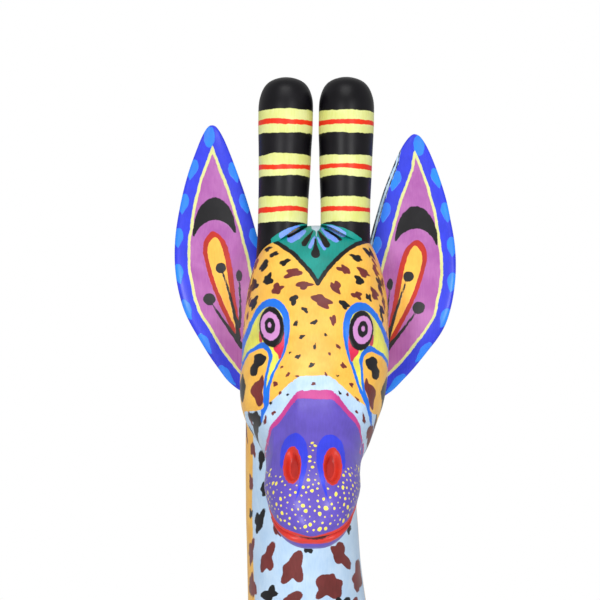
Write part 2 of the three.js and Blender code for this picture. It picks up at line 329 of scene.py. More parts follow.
def spotField(form, normal, spots, rough, seed):
    # Each spot is (vertex, length, width, turn), measured in the surface's own plane, so a spot never
    # shows on the far side of a thin limb.
    rng = np.random.default_rng(seed)
    points = form["points"].reshape(-1, 3)
    facing = normal.reshape(-1, 3)
    value = np.full(len(points), -far)
    for vertex, length, width, turn in spots:
        out = facing[vertex]
        across = unit(np.cross(out, [0.02, 0.3, 1.0]))
        rise = np.cross(across, out)
        lean = math.radians(turn)
        first = across * math.cos(lean) - rise * math.sin(lean)
        second = across * math.sin(lean) + rise * math.cos(lean)
        bends = raggedness(rng, rough)
        offset = points - points[vertex]
        near = (offset**2).sum(axis=1) < (2.2 * max(length, width)) ** 2
        near &= np.abs(offset @ out) < max(length, width)
        q = offset[near]
        x, y = (q @ first) / (length / 2), (q @ second) / (width / 2)
        value[near] = np.maximum(value[near], raggedOval(x, y, (length, width), bends))
    return value.reshape(form["points"].shape[:2])


def drawnSpots(u, v, spots, paint, rough, seed):
    # the same ragged outlines, drawn flat as they show from the front
    rng = np.random.default_rng(seed)
    value = np.full(u.shape, -far)
    for centreU, centreV, length, width, turn in [spot[:5] for spot in spots if spot[5] == paint]:
        bends = raggedness(rng, rough)
        near = (np.abs(u - centreU) < length + 1) & (np.abs(v - centreV) < length + 1)
        c, t = math.cos(math.radians(turn)), math.sin(math.radians(turn))
        du, dv = u[near] - centreU, v[near] - centreV
        x, y = (du * c + dv * t) / (length / 2), (dv * c - du * t) / (width / 2)
        value[near] = np.maximum(value[near], raggedOval(x, y, (length, width), bends))
    return value


def scatter(form, allowed, spacing, seed, tries=3000):
    # dart throwing: random vertices of the allowed part, each at least spacing mm from the others
    rng = np.random.default_rng(seed)
    points = form["points"].reshape(-1, 3)
    spacing = np.broadcast_to(spacing, form["points"].shape[:2]).reshape(-1)
    candidates = np.flatnonzero(allowed.reshape(-1))
    kept = []
    places = np.empty((0, 3))
    for vertex in rng.choice(candidates, min(tries, len(candidates)), replace=False):
        if len(kept) and np.min(np.linalg.norm(places - points[vertex], axis=1)) < spacing[vertex]:
            continue
        kept.append(int(vertex))
        places = np.vstack([places, points[vertex]])
    return kept


def spotsAt(vertices, sizes, seed, slender=(0.45, 0.95), turns=(0, 180)):
    # gives each scattered vertex a length, a width and a turn
    rng = np.random.default_rng(seed)
    spots = []
    for vertex in vertices:
        length, turn, thin = [rng.uniform(*limits) for limits in (sizes, turns, slender)]
        spots.append((vertex, length, length * thin, turn))
    return spots


def makePiece(name, form, fields):
    # closes the rings over two pole vertices and writes the paint fields, in mm, onto the vertices
    points = toFrame(form["points"])
    rings, around = points.shape[:2]
    vertices = np.vstack([points[0, :1], points[1:-1].reshape(-1, 3), points[-1, :1]])
    last = len(vertices) - 1
    ring = 1 + np.arange(rings - 2)[:, None] * around + np.arange(around)[None, :]
    turned = np.roll(ring, -1, axis=1)
    quads = np.stack([ring[:-1], ring[1:], turned[1:], turned[:-1]], axis=-1).reshape(-1, 4)
    startFan = np.stack([np.zeros(around, int), ring[0], turned[0]], axis=1)
    endFan = np.stack([np.full(around, last), turned[-1], ring[-1]], axis=1)
    corners = np.concatenate([quads.ravel(), startFan.ravel(), endFan.ravel()])
    starts = np.concatenate([np.arange(len(quads)) * 4, len(quads) * 4 + np.arange(2 * around) * 3])
    mesh = bpy.data.meshes.new(name)
    mesh.vertices.add(len(vertices))
    mesh.vertices.foreach_set("co", vertices.astype(np.float32).ravel())
    mesh.loops.add(len(corners))
    mesh.loops.foreach_set("vertex_index", corners.astype(np.int32))
    mesh.polygons.add(len(starts))
    mesh.polygons.foreach_set("loop_start", starts.astype(np.int32))
    mesh.update(calc_edges=True)
    mesh.validate()
    mesh.shade_smooth()
    for field, value in fields.items():
        value = np.broadcast_to(value, (rings, around))
        flat = np.concatenate([[value[0].mean()], value[1:-1].ravel(), [value[-1].mean()]])
        attribute = mesh.attributes.new(field, "FLOAT", "POINT")
        attribute.data.foreach_set("value", np.clip(flat, -far, far).astype(np.float32))
    piece = bpy.data.objects.new(name, mesh)
    bpy.context.scene.collection.objects.link(piece)
    return piece


def settle(piece, body, slot, *nodes):
    # the piece rides on its body and stands for its CAD nodes
    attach(piece, body)
    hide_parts(*nodes)
    print("made", piece.name, len(piece.data.vertices), "vertices")


def linear(hexText):
    # an sRGB hex value as linear red, green, blue and alpha
    values = [int(hexText[i : i + 2], 16) / 255 for i in (1, 3, 5)]
    return [v / 12.92 if v <= 0.04045 else ((v + 0.055) / 1.055) ** 2.4 for v in values] + [1.0]


# Each acrylic has a main tone and the tone its brush streaks drift to.
paintTones = {
    "ochre": ("#fdc653", "#f3b345"),
    "sky": ("#c6def5", "#b2d0ee"),
    "brown": ("#792e2d", "#642522"),
    "ink": ("#060509", "#0e0c12"),
    "teal": ("#0f988d", "#0d877c"),
    "periwinkle": ("#6c96f8", "#8aa6f2"),
    "mist": ("#c6dcee", "#b7c6e6"),
    "cobalt": ("#1176ea", "#0f69da"),
    "lemon": ("#f4f162", "#dcd752"),
    "crimson": ("#de2b52", "#cc2448"),
    "rose": ("#d898d4", "#cd8acb"),
    "magenta": ("#cb4192", "#bd3688"),
    "violet": ("#6653c0", "#5b49ad"),
    "ultramarine": ("#3340e4", "#2936d0"),
    "scarlet": ("#d2311f", "#c22a1b"),
    # painted shade: a darker red deep in each nostril's carved hollow
    "nostrilShade": ("#b8241a", "#a01d15"),
    "lipRed": ("#dc3b30", "#cf3029"),
    # painted shade: a dark red laid along the mouth's carved slit
    "slitShade": ("#4c1218", "#3a0e12"),
    "yolk": ("#f7e24e", "#ffee62"),
    "straw": ("#dfe39c", "#d4d87b"),
    "azure": ("#2489ff", "#2f78f4"),
    "mauve": ("#a75aa6", "#b870b5"),
    "butter": ("#e2e39a", "#d2d78c"),
    "flame": ("#e93717", "#d92d18"),
    "rust": ("#c22d1d", "#a62820"),
    "slate": ("#1d1c20", "#29282c"),
}


def addNode(tree, kind, settings, inputs):
    # one node, with its settings, and each input either linked to a socket or given a value
    node = tree.nodes.new(kind)
    for key, value in settings.items():
        setattr(node, key, value)
    for key, value in inputs.items():
        if isinstance(value, bpy.types.NodeSocket):
            tree.links.new(value, node.inputs[key])
        else:
            node.inputs[key].default_value = value
    return node


def maths(tree, operation, *values):
    return addNode(tree, "ShaderNodeMath", {"operation": operation}, dict(enumerate(values))).outputs[0]


def noiseOf(tree, place, scale, detail, distortion=0.0):
    inputs = {"Vector": place, "Scale": scale, "Detail": detail, "Distortion": distortion}
    return addNode(tree, "ShaderNodeTexNoise", {}, inputs).outputs["Fac"]


def mapped(tree, value, source=(0.0, 1.0), target=(0.0, 1.0), clamp=True):
    inputs = {"Value": value, "From Min": source[0], "From Max": source[1]}
    inputs.update({"To Min": target[0], "To Max": target[1]})
    return addNode(tree, "ShaderNodeMapRange", {"clamp": clamp}, inputs).outputs["Result"]


def stretched(tree, place, turn, size):
    # coordinates in which one unit is size, in metres, along each axis
    inputs = {"Vector": place, "Rotation": turn, "Scale": size}
    return addNode(tree, "ShaderNodeMapping", {"vector_type": "TEXTURE"}, inputs).outputs["Vector"]


def startMaterial(name):
    # a material with an empty tree, and the object's own coordinates
    material = bpy.data.materials.new(name)
    material.use_nodes = True
    tree = material.node_tree
    tree.nodes.clear()
    return material, tree, addNode(tree, "ShaderNodeTexCoord", {}, {}).outputs["Object"]


def finishMaterial(tree, height, strength, distance, skin):
    # the skin's colour and gloss over a bump that stands distance mm proud
    inputs = {"Height": height, "Strength": strength, "Distance": distance / 1000}
    relief = addNode(tree, "ShaderNodeBump", {}, inputs).outputs["Normal"]
    shader = addNode(tree, "ShaderNodeBsdfPrincipled", {}, {**skin, "Normal": relief})
    addNode(tree, "ShaderNodeOutputMaterial", {}, {"Surface": shader.outputs["BSDF"]})


paintLook = {
    "wobbleSize": 1.6,  # mm, the hand's tremble along a painted edge
    "wobble": 0.16,  # mm, how far the edge wanders
    "edge": 0.1,  # mm, half the softness of an edge
    "streakWidth": 0.55,  # mm, a brush hair's track
    "streakLength": 9.0,  # mm
    "streaks": 0.55,  # how much the brush hairs shift the tone
    "streakShift": -0.27,
    "patchScale": 130.0,  # larger for smaller uneven areas of a coat
    "toneSpan": (0.3, 0.72),  # the drift that takes a paint from its main tone to its second
    "hairRelief": 0.6,  # height of the hair tracks, as a share of a coat
    "relief": 0.55,
    "coatThickness": 0.05,  # mm that one coat of acrylic stands proud
    "roughness": (0.27, 0.39),  # satin acrylic under a thin wax
    "specular": 0.4,
}


def paintedWood(name, ground, coats, streakTurn=(0.0, 0.0, 0.0), look=None):
    # Acrylic brushed onto sanded copal wood: flat hand-laid colour with crisp, slightly trembling
    # edges, faint hair tracks in each coat, and a satin skin that catches soft highlights.
    look = {**paintLook, **(look or {})}
    material, tree, place = startMaterial(name)
    tremble = noiseOf(tree, place, 1000 / look["wobbleSize"], 2.0)
    swing = look["wobble"] * 1.8
    wander = mapped(tree, tremble, target=(-swing, swing), clamp=False)
    width, length = look["streakWidth"] / 1000, look["streakLength"] / 1000
    hairs = noiseOf(tree, stretched(tree, place, streakTurn, (width, width, length)), 1.0, 3.0)
    patches = noiseOf(tree, place, look["patchScale"], 2.0)
    drift = maths(tree, "MULTIPLY_ADD", hairs, look["streaks"], look["streakShift"])
    tone = mapped(tree, maths(tree, "ADD", drift, patches), source=look["toneSpan"])

    def mixed(factor, first, second):
        inputs = {0: factor, 6: first, 7: second}
        return addNode(tree, "ShaderNodeMix", {"data_type": "RGBA"}, inputs).outputs[2]

    def brushed(paint):
        return mixed(tone, *[linear(value) for value in paintTones[paint]])

    colour = brushed(ground)
    height = maths(tree, "MULTIPLY", hairs, look["hairRelief"])
    for field, paint in coats:
        distance = addNode(tree, "ShaderNodeAttribute", {"attribute_name": field}, {}).outputs["Fac"]
        ragged = maths(tree, "ADD", distance, wander)
        mask = mapped(tree, ragged, source=(-look["edge"], look["edge"]))
        colour = mixed(mask, colour, brushed(paint))
        height = maths(tree, "ADD", height, mask)
    gloss = mapped(tree, patches, target=look["roughness"])
    skin = {"Base Color": colour, "Roughness": gloss, "Specular IOR Level": look["specular"]}
    finishMaterial(tree, height, look["relief"], look["coatThickness"], skin)
    return material


head = {
    "origin": np.array([0, 0, 645.0]),
    "pitch": 37.0,
    "square": 2.35,
    # distance along the head, half width, top, bottom
    "stations": [
        (132.5, 0, -2, -2),
        (131.3, 6.2, 2.5, -5.5),
        (128, 11.6, 7.4, -10.8),
        (121, 15, 11.8, -15.4),
        (110, 16.6, 13.8, -16.8),
        (98, 16.3, 13.6, -16.8),
        (88, 17.2, 14.6, -17.2),
        (78, 20.4, 16.8, -18.6),
        (68, 23.6, 19.4, -20.2),
        (56, 25.6, 22.6, -21.8),
        (42, 25.8, 25.8, -22.6),
        (26, 25.4, 29.4, -22),
        (13, 24.2, 31.4, -19.8),
        (4, 21, 30.2, -15.4),
        (-2, 13, 21.5, -7),
        (-4, 0, 7.5, 7.5),
    ],
    "rings": 322,
    "around": 304,
    "eyeRise": 1.1,  # mm that the carved eye stands proud
    "nostrilDepth": 2.3,
    "mouthDepth": 1.3,
    "jawTaper": 0.09,  # of its width, that the lower jaw narrows
    "chinDrop": 0.9,
    "eyeAside": 0.5,  # mm that the two eyes' middle line lies to the giraffe's left
    "leftEyeDrop": 1.2,
    "cheekLean": 1.2,  # mm that the cheeks were carved off centre
}
pitch = math.radians(head["pitch"])
headForward = np.array([0, -math.cos(pitch), -math.sin(pitch)])
headDorsal = np.array([0, -math.sin(pitch), math.cos(pitch)])


def headRows():
    rows = []
    for along, width, top, bottom in head["stations"]:
        centre = head["origin"] + along * headForward + (top + bottom) / 2 * headDorsal
        rows.append([*centre, width, (top - bottom) / 2])
    return rows


insideHead = insideOf(headRows(), headForward, head["square"])

muzzleEdge = {  # the outer edges of the light blue, magenta and violet, as (u, v) down one side
    "sky": [(0, -17.2), (5.2, -17.2), (11, -21.5), (16, -26), (19.5, -29), (26, -29.6), (40, -29.6)],
    "magenta": [(0, -22.3), (5.9, -22.3), (9.4, -25.6), (12.8, -29.8), (15.6, -35), (17, -40),
                (17.8, -44), (40, -44)],
    "violet": [(0, -25.3), (5.9, -25.3), (9.1, -28), (12.2, -31.9), (15.2, -36.2), (16.6, -40.4),
               (17.4, -45.6), (40, -45.6)],
}
faceSpots = [  # u, v, length, width, turn, paint
    (-19.6, 29.4, 3.0, 1.4, 55, "brown"), (-17.8, 27.2, 2.7, 1.6, 50, "brown"),
    (-15.4, 26.2, 2.6, 1.2, 40, "ink"), (-13.7, 24.6, 3.0, 1.3, 35, "ink"),
    (-10.4, 22.5, 4.0, 1.8, 30, "ink"), (-7.4, 18.9, 6.4, 2.8, 8, "brown"),
    (-19.8, 22.2, 3.3, 1.5, 60, "brown"), (-21.6, 21.0, 3.3, 1.3, 62, "ink"),
    (-17.2, 20.8, 4.7, 1.8, 46, "ink"), (-16.3, 16.4, 4.4, 2.6, 48, "ink"),
    (-13.2, 13.3, 4.6, 3.0, 30, "brown"), (-3.7, 14.7, 5.4, 2.6, 12, "brown"),
    (-21.2, 14.4, 4.4, 2.2, 62, "ink"), (-22.8, 11.6, 4.6, 1.3, 68, "brown"),
    (-21.3, 8.7, 4.2, 2.3, 62, "ink"), (-7.4, 9.7, 4.0, 2.4, 40, "ink"),
    (2.3, 8.9, 7.4, 3.8, -22, "brown"), (7.2, 14.0, 5.0, 2.9, -58, "brown"),
    (10.1, 20.0, 4.4, 2.6, -35, "brown"), (14.1, 23.6, 4.6, 1.6, -28, "ink"),
    (17.2, 25.2, 3.4, 1.3, -48, "ink"), (19.0, 24.6, 3.6, 1.2, -55, "ink"),
    (16.7, 18.7, 5.4, 2.0, -32, "brown"), (15.3, 16.4, 3.6, 2.6, -60, "ink"),
    (20.7, 19.2, 4.4, 1.3, -55, "brown"), (20.9, 11.6, 4.6, 2.0, -62, "brown"),
    (22.3, 15.6, 4.0, 1.2, -62, "ink"), (18.9, 10.4, 2.8, 1.6, -65, "ink"),
    (14.7, 11.1, 3.7, 2.3, -20, "brown"), (10.3, 7.7, 3.6, 2.6, -45, "ink"),
    (23.3, 6.0, 3.4, 1.3, -72, "ink"), (-22.6, 17.4, 3.6, 1.0, 66, "brown"),
    (-24.0, 13.4, 3.8, 0.9, 72, "ink"), (-24.2, 8.4, 3.6, 0.9, 78, "brown"),
    (-20.9, 25.4, 2.6, 0.9, 60, "ink"), (20.0, 21.8, 3.2, 0.9, -58, "brown"),
    (22.9, 12.4, 3.8, 0.9, -70, "brown"), (24.0, 9.0, 3.4, 0.8, -76, "ink"),
    (-3.6, 6.0, 2.6, 1.6, -40, "ink"),
    (-6.7, 1.3, 2.6, 1.3, 65, "ink"), (-0.2, 1.5, 2.3, 1.7, 30, "ink"),
    (6.3, 2.2, 3.4, 2.2, -65, "brown"), (-4.7, -3.6, 2.3, 1.3, 25, "ink"),
    (3.7, -2.7, 1.5, 1.0, -55, "ink"), (-0.1, -7.0, 2.1, 1.0, 75, "ink"),
    (8.2, -7.0, 2.6, 1.0, -55, "brown"), (-8.6, -9.0, 1.3, 0.9, 20, "ink"),
    (-5.9, -10.4, 2.2, 1.3, 30, "ink"), (5.1, -9.3, 1.5, 0.9, -60, "brown"),
    (-0.9, -13.4, 2.2, 1.5, 30, "ink"), (10.3, -13.6, 2.4, 1.5, -50, "brown"),
    (-11.1, -14.1, 1.2, 0.9, 30, "brown"), (-9.0, -16.6, 2.1, 1.0, 60, "brown"),
    (-13.5, -19.9, 2.2, 1.3, 55, "brown"), (8.3, -16.9, 1.4, 0.9, -40, "ink"),
    (4.4, -16.7, 1.6, 0.8, -50, "brown"), (-5.8, -17.3, 1.4, 0.7, 15, "brown"),
    (13.5, -20.1, 2.0, 1.1, -65, "brown"), (-0.1, -19.8, 1.7, 1.0, 0, "brown"),
    (-12.4, -22.8, 1.8, 0.9, 60, "brown"), (-9.8, -23.2, 1.2, 0.7, 40, "ink"),
    (8.9, -23.0, 1.7, 0.9, -50, "ink"), (11.9, -23.4, 1.3, 0.8, -60, "brown"),
    (-16.1, -26.4, 1.6, 0.8, 45, "ink"), (-15.2, -29.8, 1.8, 1.1, 65, "brown"),
    (15.4, -25.3, 1.9, 0.9, -60, "brown"), (14.7, -29.8, 1.3, 0.9, -60, "brown"),
    (-17.4, -32.6, 2.9, 1.1, 80, "brown"), (17.1, -32.4, 3.2, 1.1, -75, "brown"),
    # the long blobs on the cheeks
    (-20.6, -33.0, 8.3, 2.9, 97, "ink"), (-23.0, -35.6, 6.8, 1.6, 112, "ink"),
    (-25.0, -32.2, 6.4, 1.1, 105, "ink"), (-19.4, -40.4, 4.0, 0.9, 120, "ink"),
    (19.4, -37.2, 6.5, 2.0, 76, "brown"), (22.8, -30.8, 4.6, 1.1, 74, "ink"),
    (24.2, -25.4, 6.6, 1.4, 84, "ink"), (21.6, -33.6, 3.4, 0.9, 74, "brown"),
]


def plane(points, form):
    # (u, v) of a point of the head. Past the widest line u runs on outwards and v stops falling, and
    # behind the crown v runs on upwards, so that nothing drawn on the face shows twice.
    offset = points - head["origin"]
    along, above = offset @ headForward, offset @ headDorsal
    width = form["row"][:, 3][:, None]
    middle = ((form["row"][:, :3] - head["origin"]) @ headDorsal)[:, None]
    lifted = points + np.maximum(0, middle - above)[..., None] * headDorsal
    u, v = seen(lifted)
    x = points[..., 0]
    u = u + np.where(above < middle, np.sign(x) * 2 * (width - np.abs(x)), 0)
    crest = v.max(axis=1)
    top = int(np.argmax(crest))
    hidden = np.arange(len(crest)) > top
    v = v + np.where(hidden, 2 * (crest[top] - crest), 0)[:, None]
    return u, v, along, above


def drawnOn(u, v, side):
    # the right eye's drawing, or its mirror image for the left eye, which sits a little lower
    if side < 0:
        return u, v
    return 2 * head["eyeAside"] - u, v + head["leftEyeDrop"]


def nostrilOn(u, v, side):
    # the right nostril's drawing, or its mirror image for the left one
    return (u, v) if side < 0 else (-(u + 2.0), v + 0.5)


def crestPetals(u, v):
    # the fan painted on the crest: periwinkle petals, a pale drop, and ink petals
    fan = [  # half widths in the third column
        [(-2.8, 35.3, 0.25), (-6.0, 33.4, 0.45), (-9.3, 31.5, 0.5)],
        [(-0.8, 33.7, 0.2), (-2.2, 31.4, 0.75), (-3.7, 29.1, 1.05)],
        [(0.15, 30.6, 0.3), (0.2, 27.8, 0.7), (0.2, 25.6, 1.6)],
        [(1.3, 33.4, 0.35), (2.7, 31.1, 0.9), (4.1, 28.8, 1.2)],
        [(3.4, 34.2, 0.25), (6.2, 32.6, 0.5), (8.8, 30.6, 0.55)],
    ]
    petals = [
        [(-5.6, 35.1, 0.5), (-8.0, 34.1, 1.3), (-11.6, 32.0, 1.1)],
        [(-3.4, 33.7, 0.4), (-5.6, 32.3, 1.3), (-8.4, 30.6, 1.3)],
        [(-0.2, 31.6, 0.3), (-0.9, 29.6, 0.65), (-1.7, 27.9, 0.7)],
        [(0.9, 31.2, 0.3), (2.0, 29.2, 0.6), (3.3, 27.4, 0.65)],
        [(2.5, 34.4, 0.4), (4.9, 32.2, 1.1), (7.4, 30.6, 1.1)],
        [(4.4, 35.3, 0.5), (7.2, 34.0, 1.2), (9.8, 32.4, 1.1)],
    ]
    stem = stroke(u, v, [(0.6, 35, 0.3), (0.5, 31.6, 0.12)])
    pale = over(oval(u, v, (0.3, 35.2), (1.6, 1.5)), stem)
    return over(*[stroke(u, v, p) for p in petals]), pale, over(*[stroke(u, v, p) for p in fan])


crestArch = {"top": 36.0, "bend": 0.031}  # mm above the eyes, and how fast it falls to the sides


def underArch(u, v):
    # mm below the arched upper edge of the crest
    aside = np.maximum(0, np.abs(u - head["eyeAside"]) - 3)
    return crestArch["top"] - crestArch["bend"] * aside**2 - v


face = {
    "rough": 0.26,  # how ragged a spot is
    "spacing": 4.7,  # mm between the scattered spots
    "length": {"brown": (3.0, 5.2), "ink": (2.6, 4.8)},  # mm, of the scattered spots
    "slender": (0.4, 0.75),
    "turns": (62, 104),
    "crestLine": 0.75,  # mm, half the width of the crest's black edge
    "dotSpacing": 1.82,
    "dotTries": 6000,
    "smallDots": (0.55, 0.95),
    "largeDots": (1.0, 1.6),
    "smallShare": 0.68,
}
crestEdge = {  # the crest's lower edge, from the right side to its tip and up the left side
    "right": [(-40, 36), (-22, 32.6), (-15.4, 30), (-11.2, 27.8), (-7.6, 25.6), (-4.3, 22.2), (-1.5, 19.0)],
    "tip": [(1.05, 15.2)],
    "left": [(3, 18.2), (4.9, 20.8), (7.5, 23.6), (10.3, 26.1), (13.3, 27.8), (17.2, 28.9),
             (24, 31), (40, 35)],
}
eyeShapes = {  # the right eye's painted outlines, the lowest coat first
    "cobalt": [[
        (-25.8, -12), (-25.8, -7), (-24.9, -3.6), (-23.5, 1.2), (-21.1, 5.8), (-18.2, 8.7), (-15.6, 9.8),
        (-12.8, 9.4), (-10.2, 6.8), (-9.0, 3.3), (-8.8, -0.4), (-9.4, -4.7), (-10.5, -9), (-11.9, -12.6),
        (-13.5, -16.2), (-14.9, -19.8), (-16.0, -23.2), (-17.0, -27.4), (-18.7, -33.8), (-18.9, -31),
        (-18.6, -26), (-19.2, -23), (-21, -19), (-24, -15),
    ]],
    "lemon": [[
        (-25.3, -12), (-24.8, -8), (-23.8, -3.8), (-22.4, 0.9), (-20.0, 4.8), (-17.6, 6.4), (-14.4, 6.6),
        (-11.8, 4.6), (-11.0, 1.2), (-11.0, -3.6), (-11.6, -8.8), (-12.9, -12.5), (-14.5, -16.2),
        (-16, -19.8), (-17.6, -23.4), (-18.4, -26.5), (-18.6, -22.8), (-18.4, -19), (-20.5, -15.5),
        (-23.6, -14),
    ]],
    "crimson": [
        [
            (-11.0, -1.2), (-10.8, -5.2), (-11.4, -8.6), (-12.1, -11.4), (-13.2, -9.4), (-14.6, -7.4),
            (-13, -4),
        ],
        [(-19.6, -1.5), (-20, -4.2), (-19.6, -5.2), (-18.4, -5), (-18.2, -2.6)],
    ],
    "cobaltArch": [[
        (-25.6, -16), (-25.2, -12.6), (-23.9, -9.4), (-21.6, -6.7), (-19.0, -5.1), (-16.4, -6.6),
        (-15.1, -9.4), (-15.3, -13), (-15.9, -17), (-16.6, -21), (-17.1, -25), (-18.0, -31), (-18.7, -33.6),
        (-18.9, -30), (-19.6, -26), (-24, -22),
    ]],
    "ochreArch": [[
        (-25.9, -17), (-24.9, -13.6), (-23.6, -10.6), (-21.9, -8.5), (-19.4, -7.2), (-17.3, -8.2),
        (-16.4, -10.8), (-16.4, -14.2), (-17.0, -17.8), (-17.7, -21.6), (-18.3, -25.4), (-18.7, -28.8),
        (-23, -29.6), (-26.5, -29.2), (-28.4, -24),
    ]],
    "brownArch": [[
        (-17.8, -16.6), (-17.2, -19.6), (-18.1, -22.6), (-18.3, -26.4), (-19.6, -28), (-20.4, -25.2),
        (-21.6, -22.4), (-20.6, -19.8), (-18.9, -18.6),
    ]],
    "inkEye": [
        [
            (-19.8, -8.9), (-18.5, -9.4), (-17.3, -10.4), (-17.8, -13), (-19.3, -14.2), (-20, -16.8),
            (-21.8, -17), (-22.3, -14.6), (-21.2, -12.4), (-21.2, -10),
        ],
        [
            (-24.8, -16.4), (-24.0, -18.6), (-23.3, -21), (-23.5, -24), (-24.0, -26.4), (-24.8, -25),
            (-25.6, -21),
        ],
    ],
}
eyeOvals = {  # centre, radii
    "inkEye": ((-15.1, -0.2), (4.35, 7.0)),
    "rose": ((-15.5, 0), (3.3, 4.95)),
    "inkRing": ((-15.6, 0.2), (1.8, 2.85)),
    "roseDot": ((-15.7, 0.4), (0.62, 1.0)),
}
nostrilHook = [  # the blue that wraps a nostril
    (-12.5, -48.6), (-12.6, -45), (-12.0, -41.2), (-10.3, -38.4), (-7.8, -37.2), (-5.2, -37.8),
    (-3.2, -40.4), (-2.5, -44.2), (-2.8, -48.6), (-3.7, -52.4), (-4.9, -56.2), (-7.3, -61.4),
    (-6.1, -56.9), (-5.5, -53.8), (-5.8, -50.8), (-8, -49), (-11.3, -49.4),
]


def muzzlePaint(form, u, v):
    # the light blue below the cheeks and round the muzzle, then the muzzle's magenta and violet
    fields = {}
    for seed, (field, edge) in enumerate(muzzleEdge.items(), 21):
        half = np.array(edge, float)
        path = np.vstack([half[::-1] * [-1, 1], half[1:]])
        wide = np.clip(u, -39, 39)
        near = v > -60
        value = np.full(u.shape, far)
        gap = nearest(wide[near], v[near], smoothLine(path, steps=3))
        below = v[near] < np.interp(wide[near], path[:, 0], path[:, 1])
        value[near] = np.where(below, gap, -gap)
        fields[field] = value + 0.35 * noise(form["points"], 5, seed)
    return fields


def eyePaint(u, v):
    # the two eyes, in coats that cover one another
    drawnEyes = {}
    for side in (-1, 1):
        a, b = drawnOn(u, v, side)
        for name, outlines in eyeShapes.items():
            drawnEyes.setdefault(name, []).extend(filled(a, b, outline) for outline in outlines)
        for name, (centre, radii) in eyeOvals.items():
            drawnEyes.setdefault(name, []).append(oval(a, b, centre, radii, 4))
    return {name: over(*values) for name, values in drawnEyes.items()}


def dotPaint(form, normal, allowed):
    # the yellow dots down the snout and round the muzzle
    dots = scatter(form, allowed, face["dotSpacing"], 41, face["dotTries"])
    rng = np.random.default_rng(42)
    areSmall = rng.random(len(dots)) < face["smallShare"]
    small, large = [rng.uniform(*face[kind], len(dots)) for kind in ("smallDots", "largeDots")]
    marks = []
    for dot, size in zip(dots, np.where(areSmall, small, large)):
        marks.append((dot, size, size * rng.uniform(0.7, 1.0), rng.uniform(40, 130)))
    return spotField(form, normal, marks, 0.07, 43)


def facePaint(form, normal, u, v, along, above):
    facing = normal[..., 1] < 0.35
    fields = muzzlePaint(form, u, v)
    # spots: drawn on the face from a list, scattered over the rest of the head
    rear = (np.abs(u) > np.where(u < 0, 21.0, 22.6)) | (v > 37) | (normal[..., 1] > 0.2)
    rear &= (along < 84) & (normal[..., 2] > -0.75)
    vertices = scatter(form, rear, face["spacing"], 31)
    half = len(vertices) // 2
    onFace = facing & (above > -16) & (normal[..., 1] < -0.06)
    halves = (("brown", "brown", vertices[:half], 32, 34), ("inkSpots", "ink", vertices[half:], 33, 36))
    for field, paint, places, seed, edgeSeed in halves:
        marks = spotsAt(places, face["length"][paint], seed, face["slender"], face["turns"])
        byHand = only(onFace, drawnSpots(u, v, faceSpots, paint, face["rough"], edgeSeed))
        fields[field] = over(byHand, spotField(form, normal, marks, face["rough"], edgeSeed + 1))
    # the teal crest between the horns, its black edge, and its fan of petals
    right = smoothLine(crestEdge["right"] + crestEdge["tip"])
    left = smoothLine(crestEdge["tip"] + crestEdge["left"])
    outline = np.vstack([right, left[1:]])
    crest = np.vstack([outline, [[40, 90], [-40, 90]], right[:1]])
    fields["teal"] = drawn(u, v, crest, closed=True)
    gap = np.full(u.shape, far)
    close = (v > 8) & (v < 44)
    gap[close] = nearest(u[close], v[close], outline)
    fields["periwinkle"], fields["mist"], fan = crestPetals(u, v)
    # the horns' black runs down over the crown
    spill = over(*[hornSpill(form["points"], which) for which in horn["across"]])
    fields["spill"] = np.where(facing, within(spill, -underArch(u, v)), spill)
    fields["ink"] = over(face["crestLine"] - gap, fan)
    for name, value in eyePaint(u, v).items():
        fields[name] = only(facing, value)
    # nostrils, each wrapped in a blue hook, then the dots, the lips and a dark slit of painted shade between
    # them
    hooks, reds, hollows = [], [], []
    for side in (-1, 1):
        a, b = nostrilOn(u, v, side)
        hooks.append(filled(a, b, nostrilHook, 5))
        reds.append(oval(a, b, (-8.2, -48.3), (3.35, 6.6)))
        # the darker red in each nostril's hollow is painted shade
        hollows.append(oval(a, b, (-8.0, -47.4), (1.9, 4.4)) - 0.2)
    fields["hook"] = only(facing & (along > 84), over(*hooks))
    fields["nostril"], fields["hollow"] = over(*reds), over(*hollows)
    snout = (fields["violet"] > 1.2) & (fields["hook"] < -0.6) & (fields["nostril"] < -0.7)
    bridge = within(v + 100, 3.2 - np.abs(u), -40.5 - v) > 0
    lower = v < -49.6 + 2.6 * noise(form["points"], 5, 44)
    line, lips = mouthHeight(along), lipGap(along, above)
    fields["dots"] = dotPaint(form, normal, snout & (bridge | lower) & (lips > 1.7) & (above > line))
    fields["lips"] = -lips
    # the slit's dark red is painted shade in the carved mouth groove
    slit = mouth["slit"] - mouth["slitBend"] * (form["points"][..., 0] - 1) ** 2 - np.abs(above - line)
    fields["slit"] = within(slit, along - mouth["slitFrom"])
    return fields


mouth = {
    "corner": 106.0,  # mm along the head
    "tip": -3.5,  # mm above the head's axis
    "droop": 0.06,
    "upper": 1.9,  # mm of lip above the line, and below it
    "lower": 2.8,
    "slit": 0.85,  # mm, half the width of the painted shade along the middle of the mouth
    "slitBend": 0.014,
    "slitFrom": 116,  # mm along the head
}


def mouthHeight(along):
    # the mouth's line above the head's axis, drooping towards its corners
    return mouth["tip"] - mouth["droop"] * np.clip(130 - along, 0, 40)


def lipGap(along, above):
    # mm outside the red of the lips, which is thicker below the mouth than above it
    line = mouthHeight(along)
    ease = np.clip((along - mouth["corner"]) / 18, 0, 1) ** 0.7
    up = above - (line + 0.4 + (mouth["upper"] - 0.4) * ease)
    down = (line - 0.6 - (mouth["lower"] - 0.6) * ease) - above
    return np.maximum(np.maximum(up, down), mouth["corner"] - along)


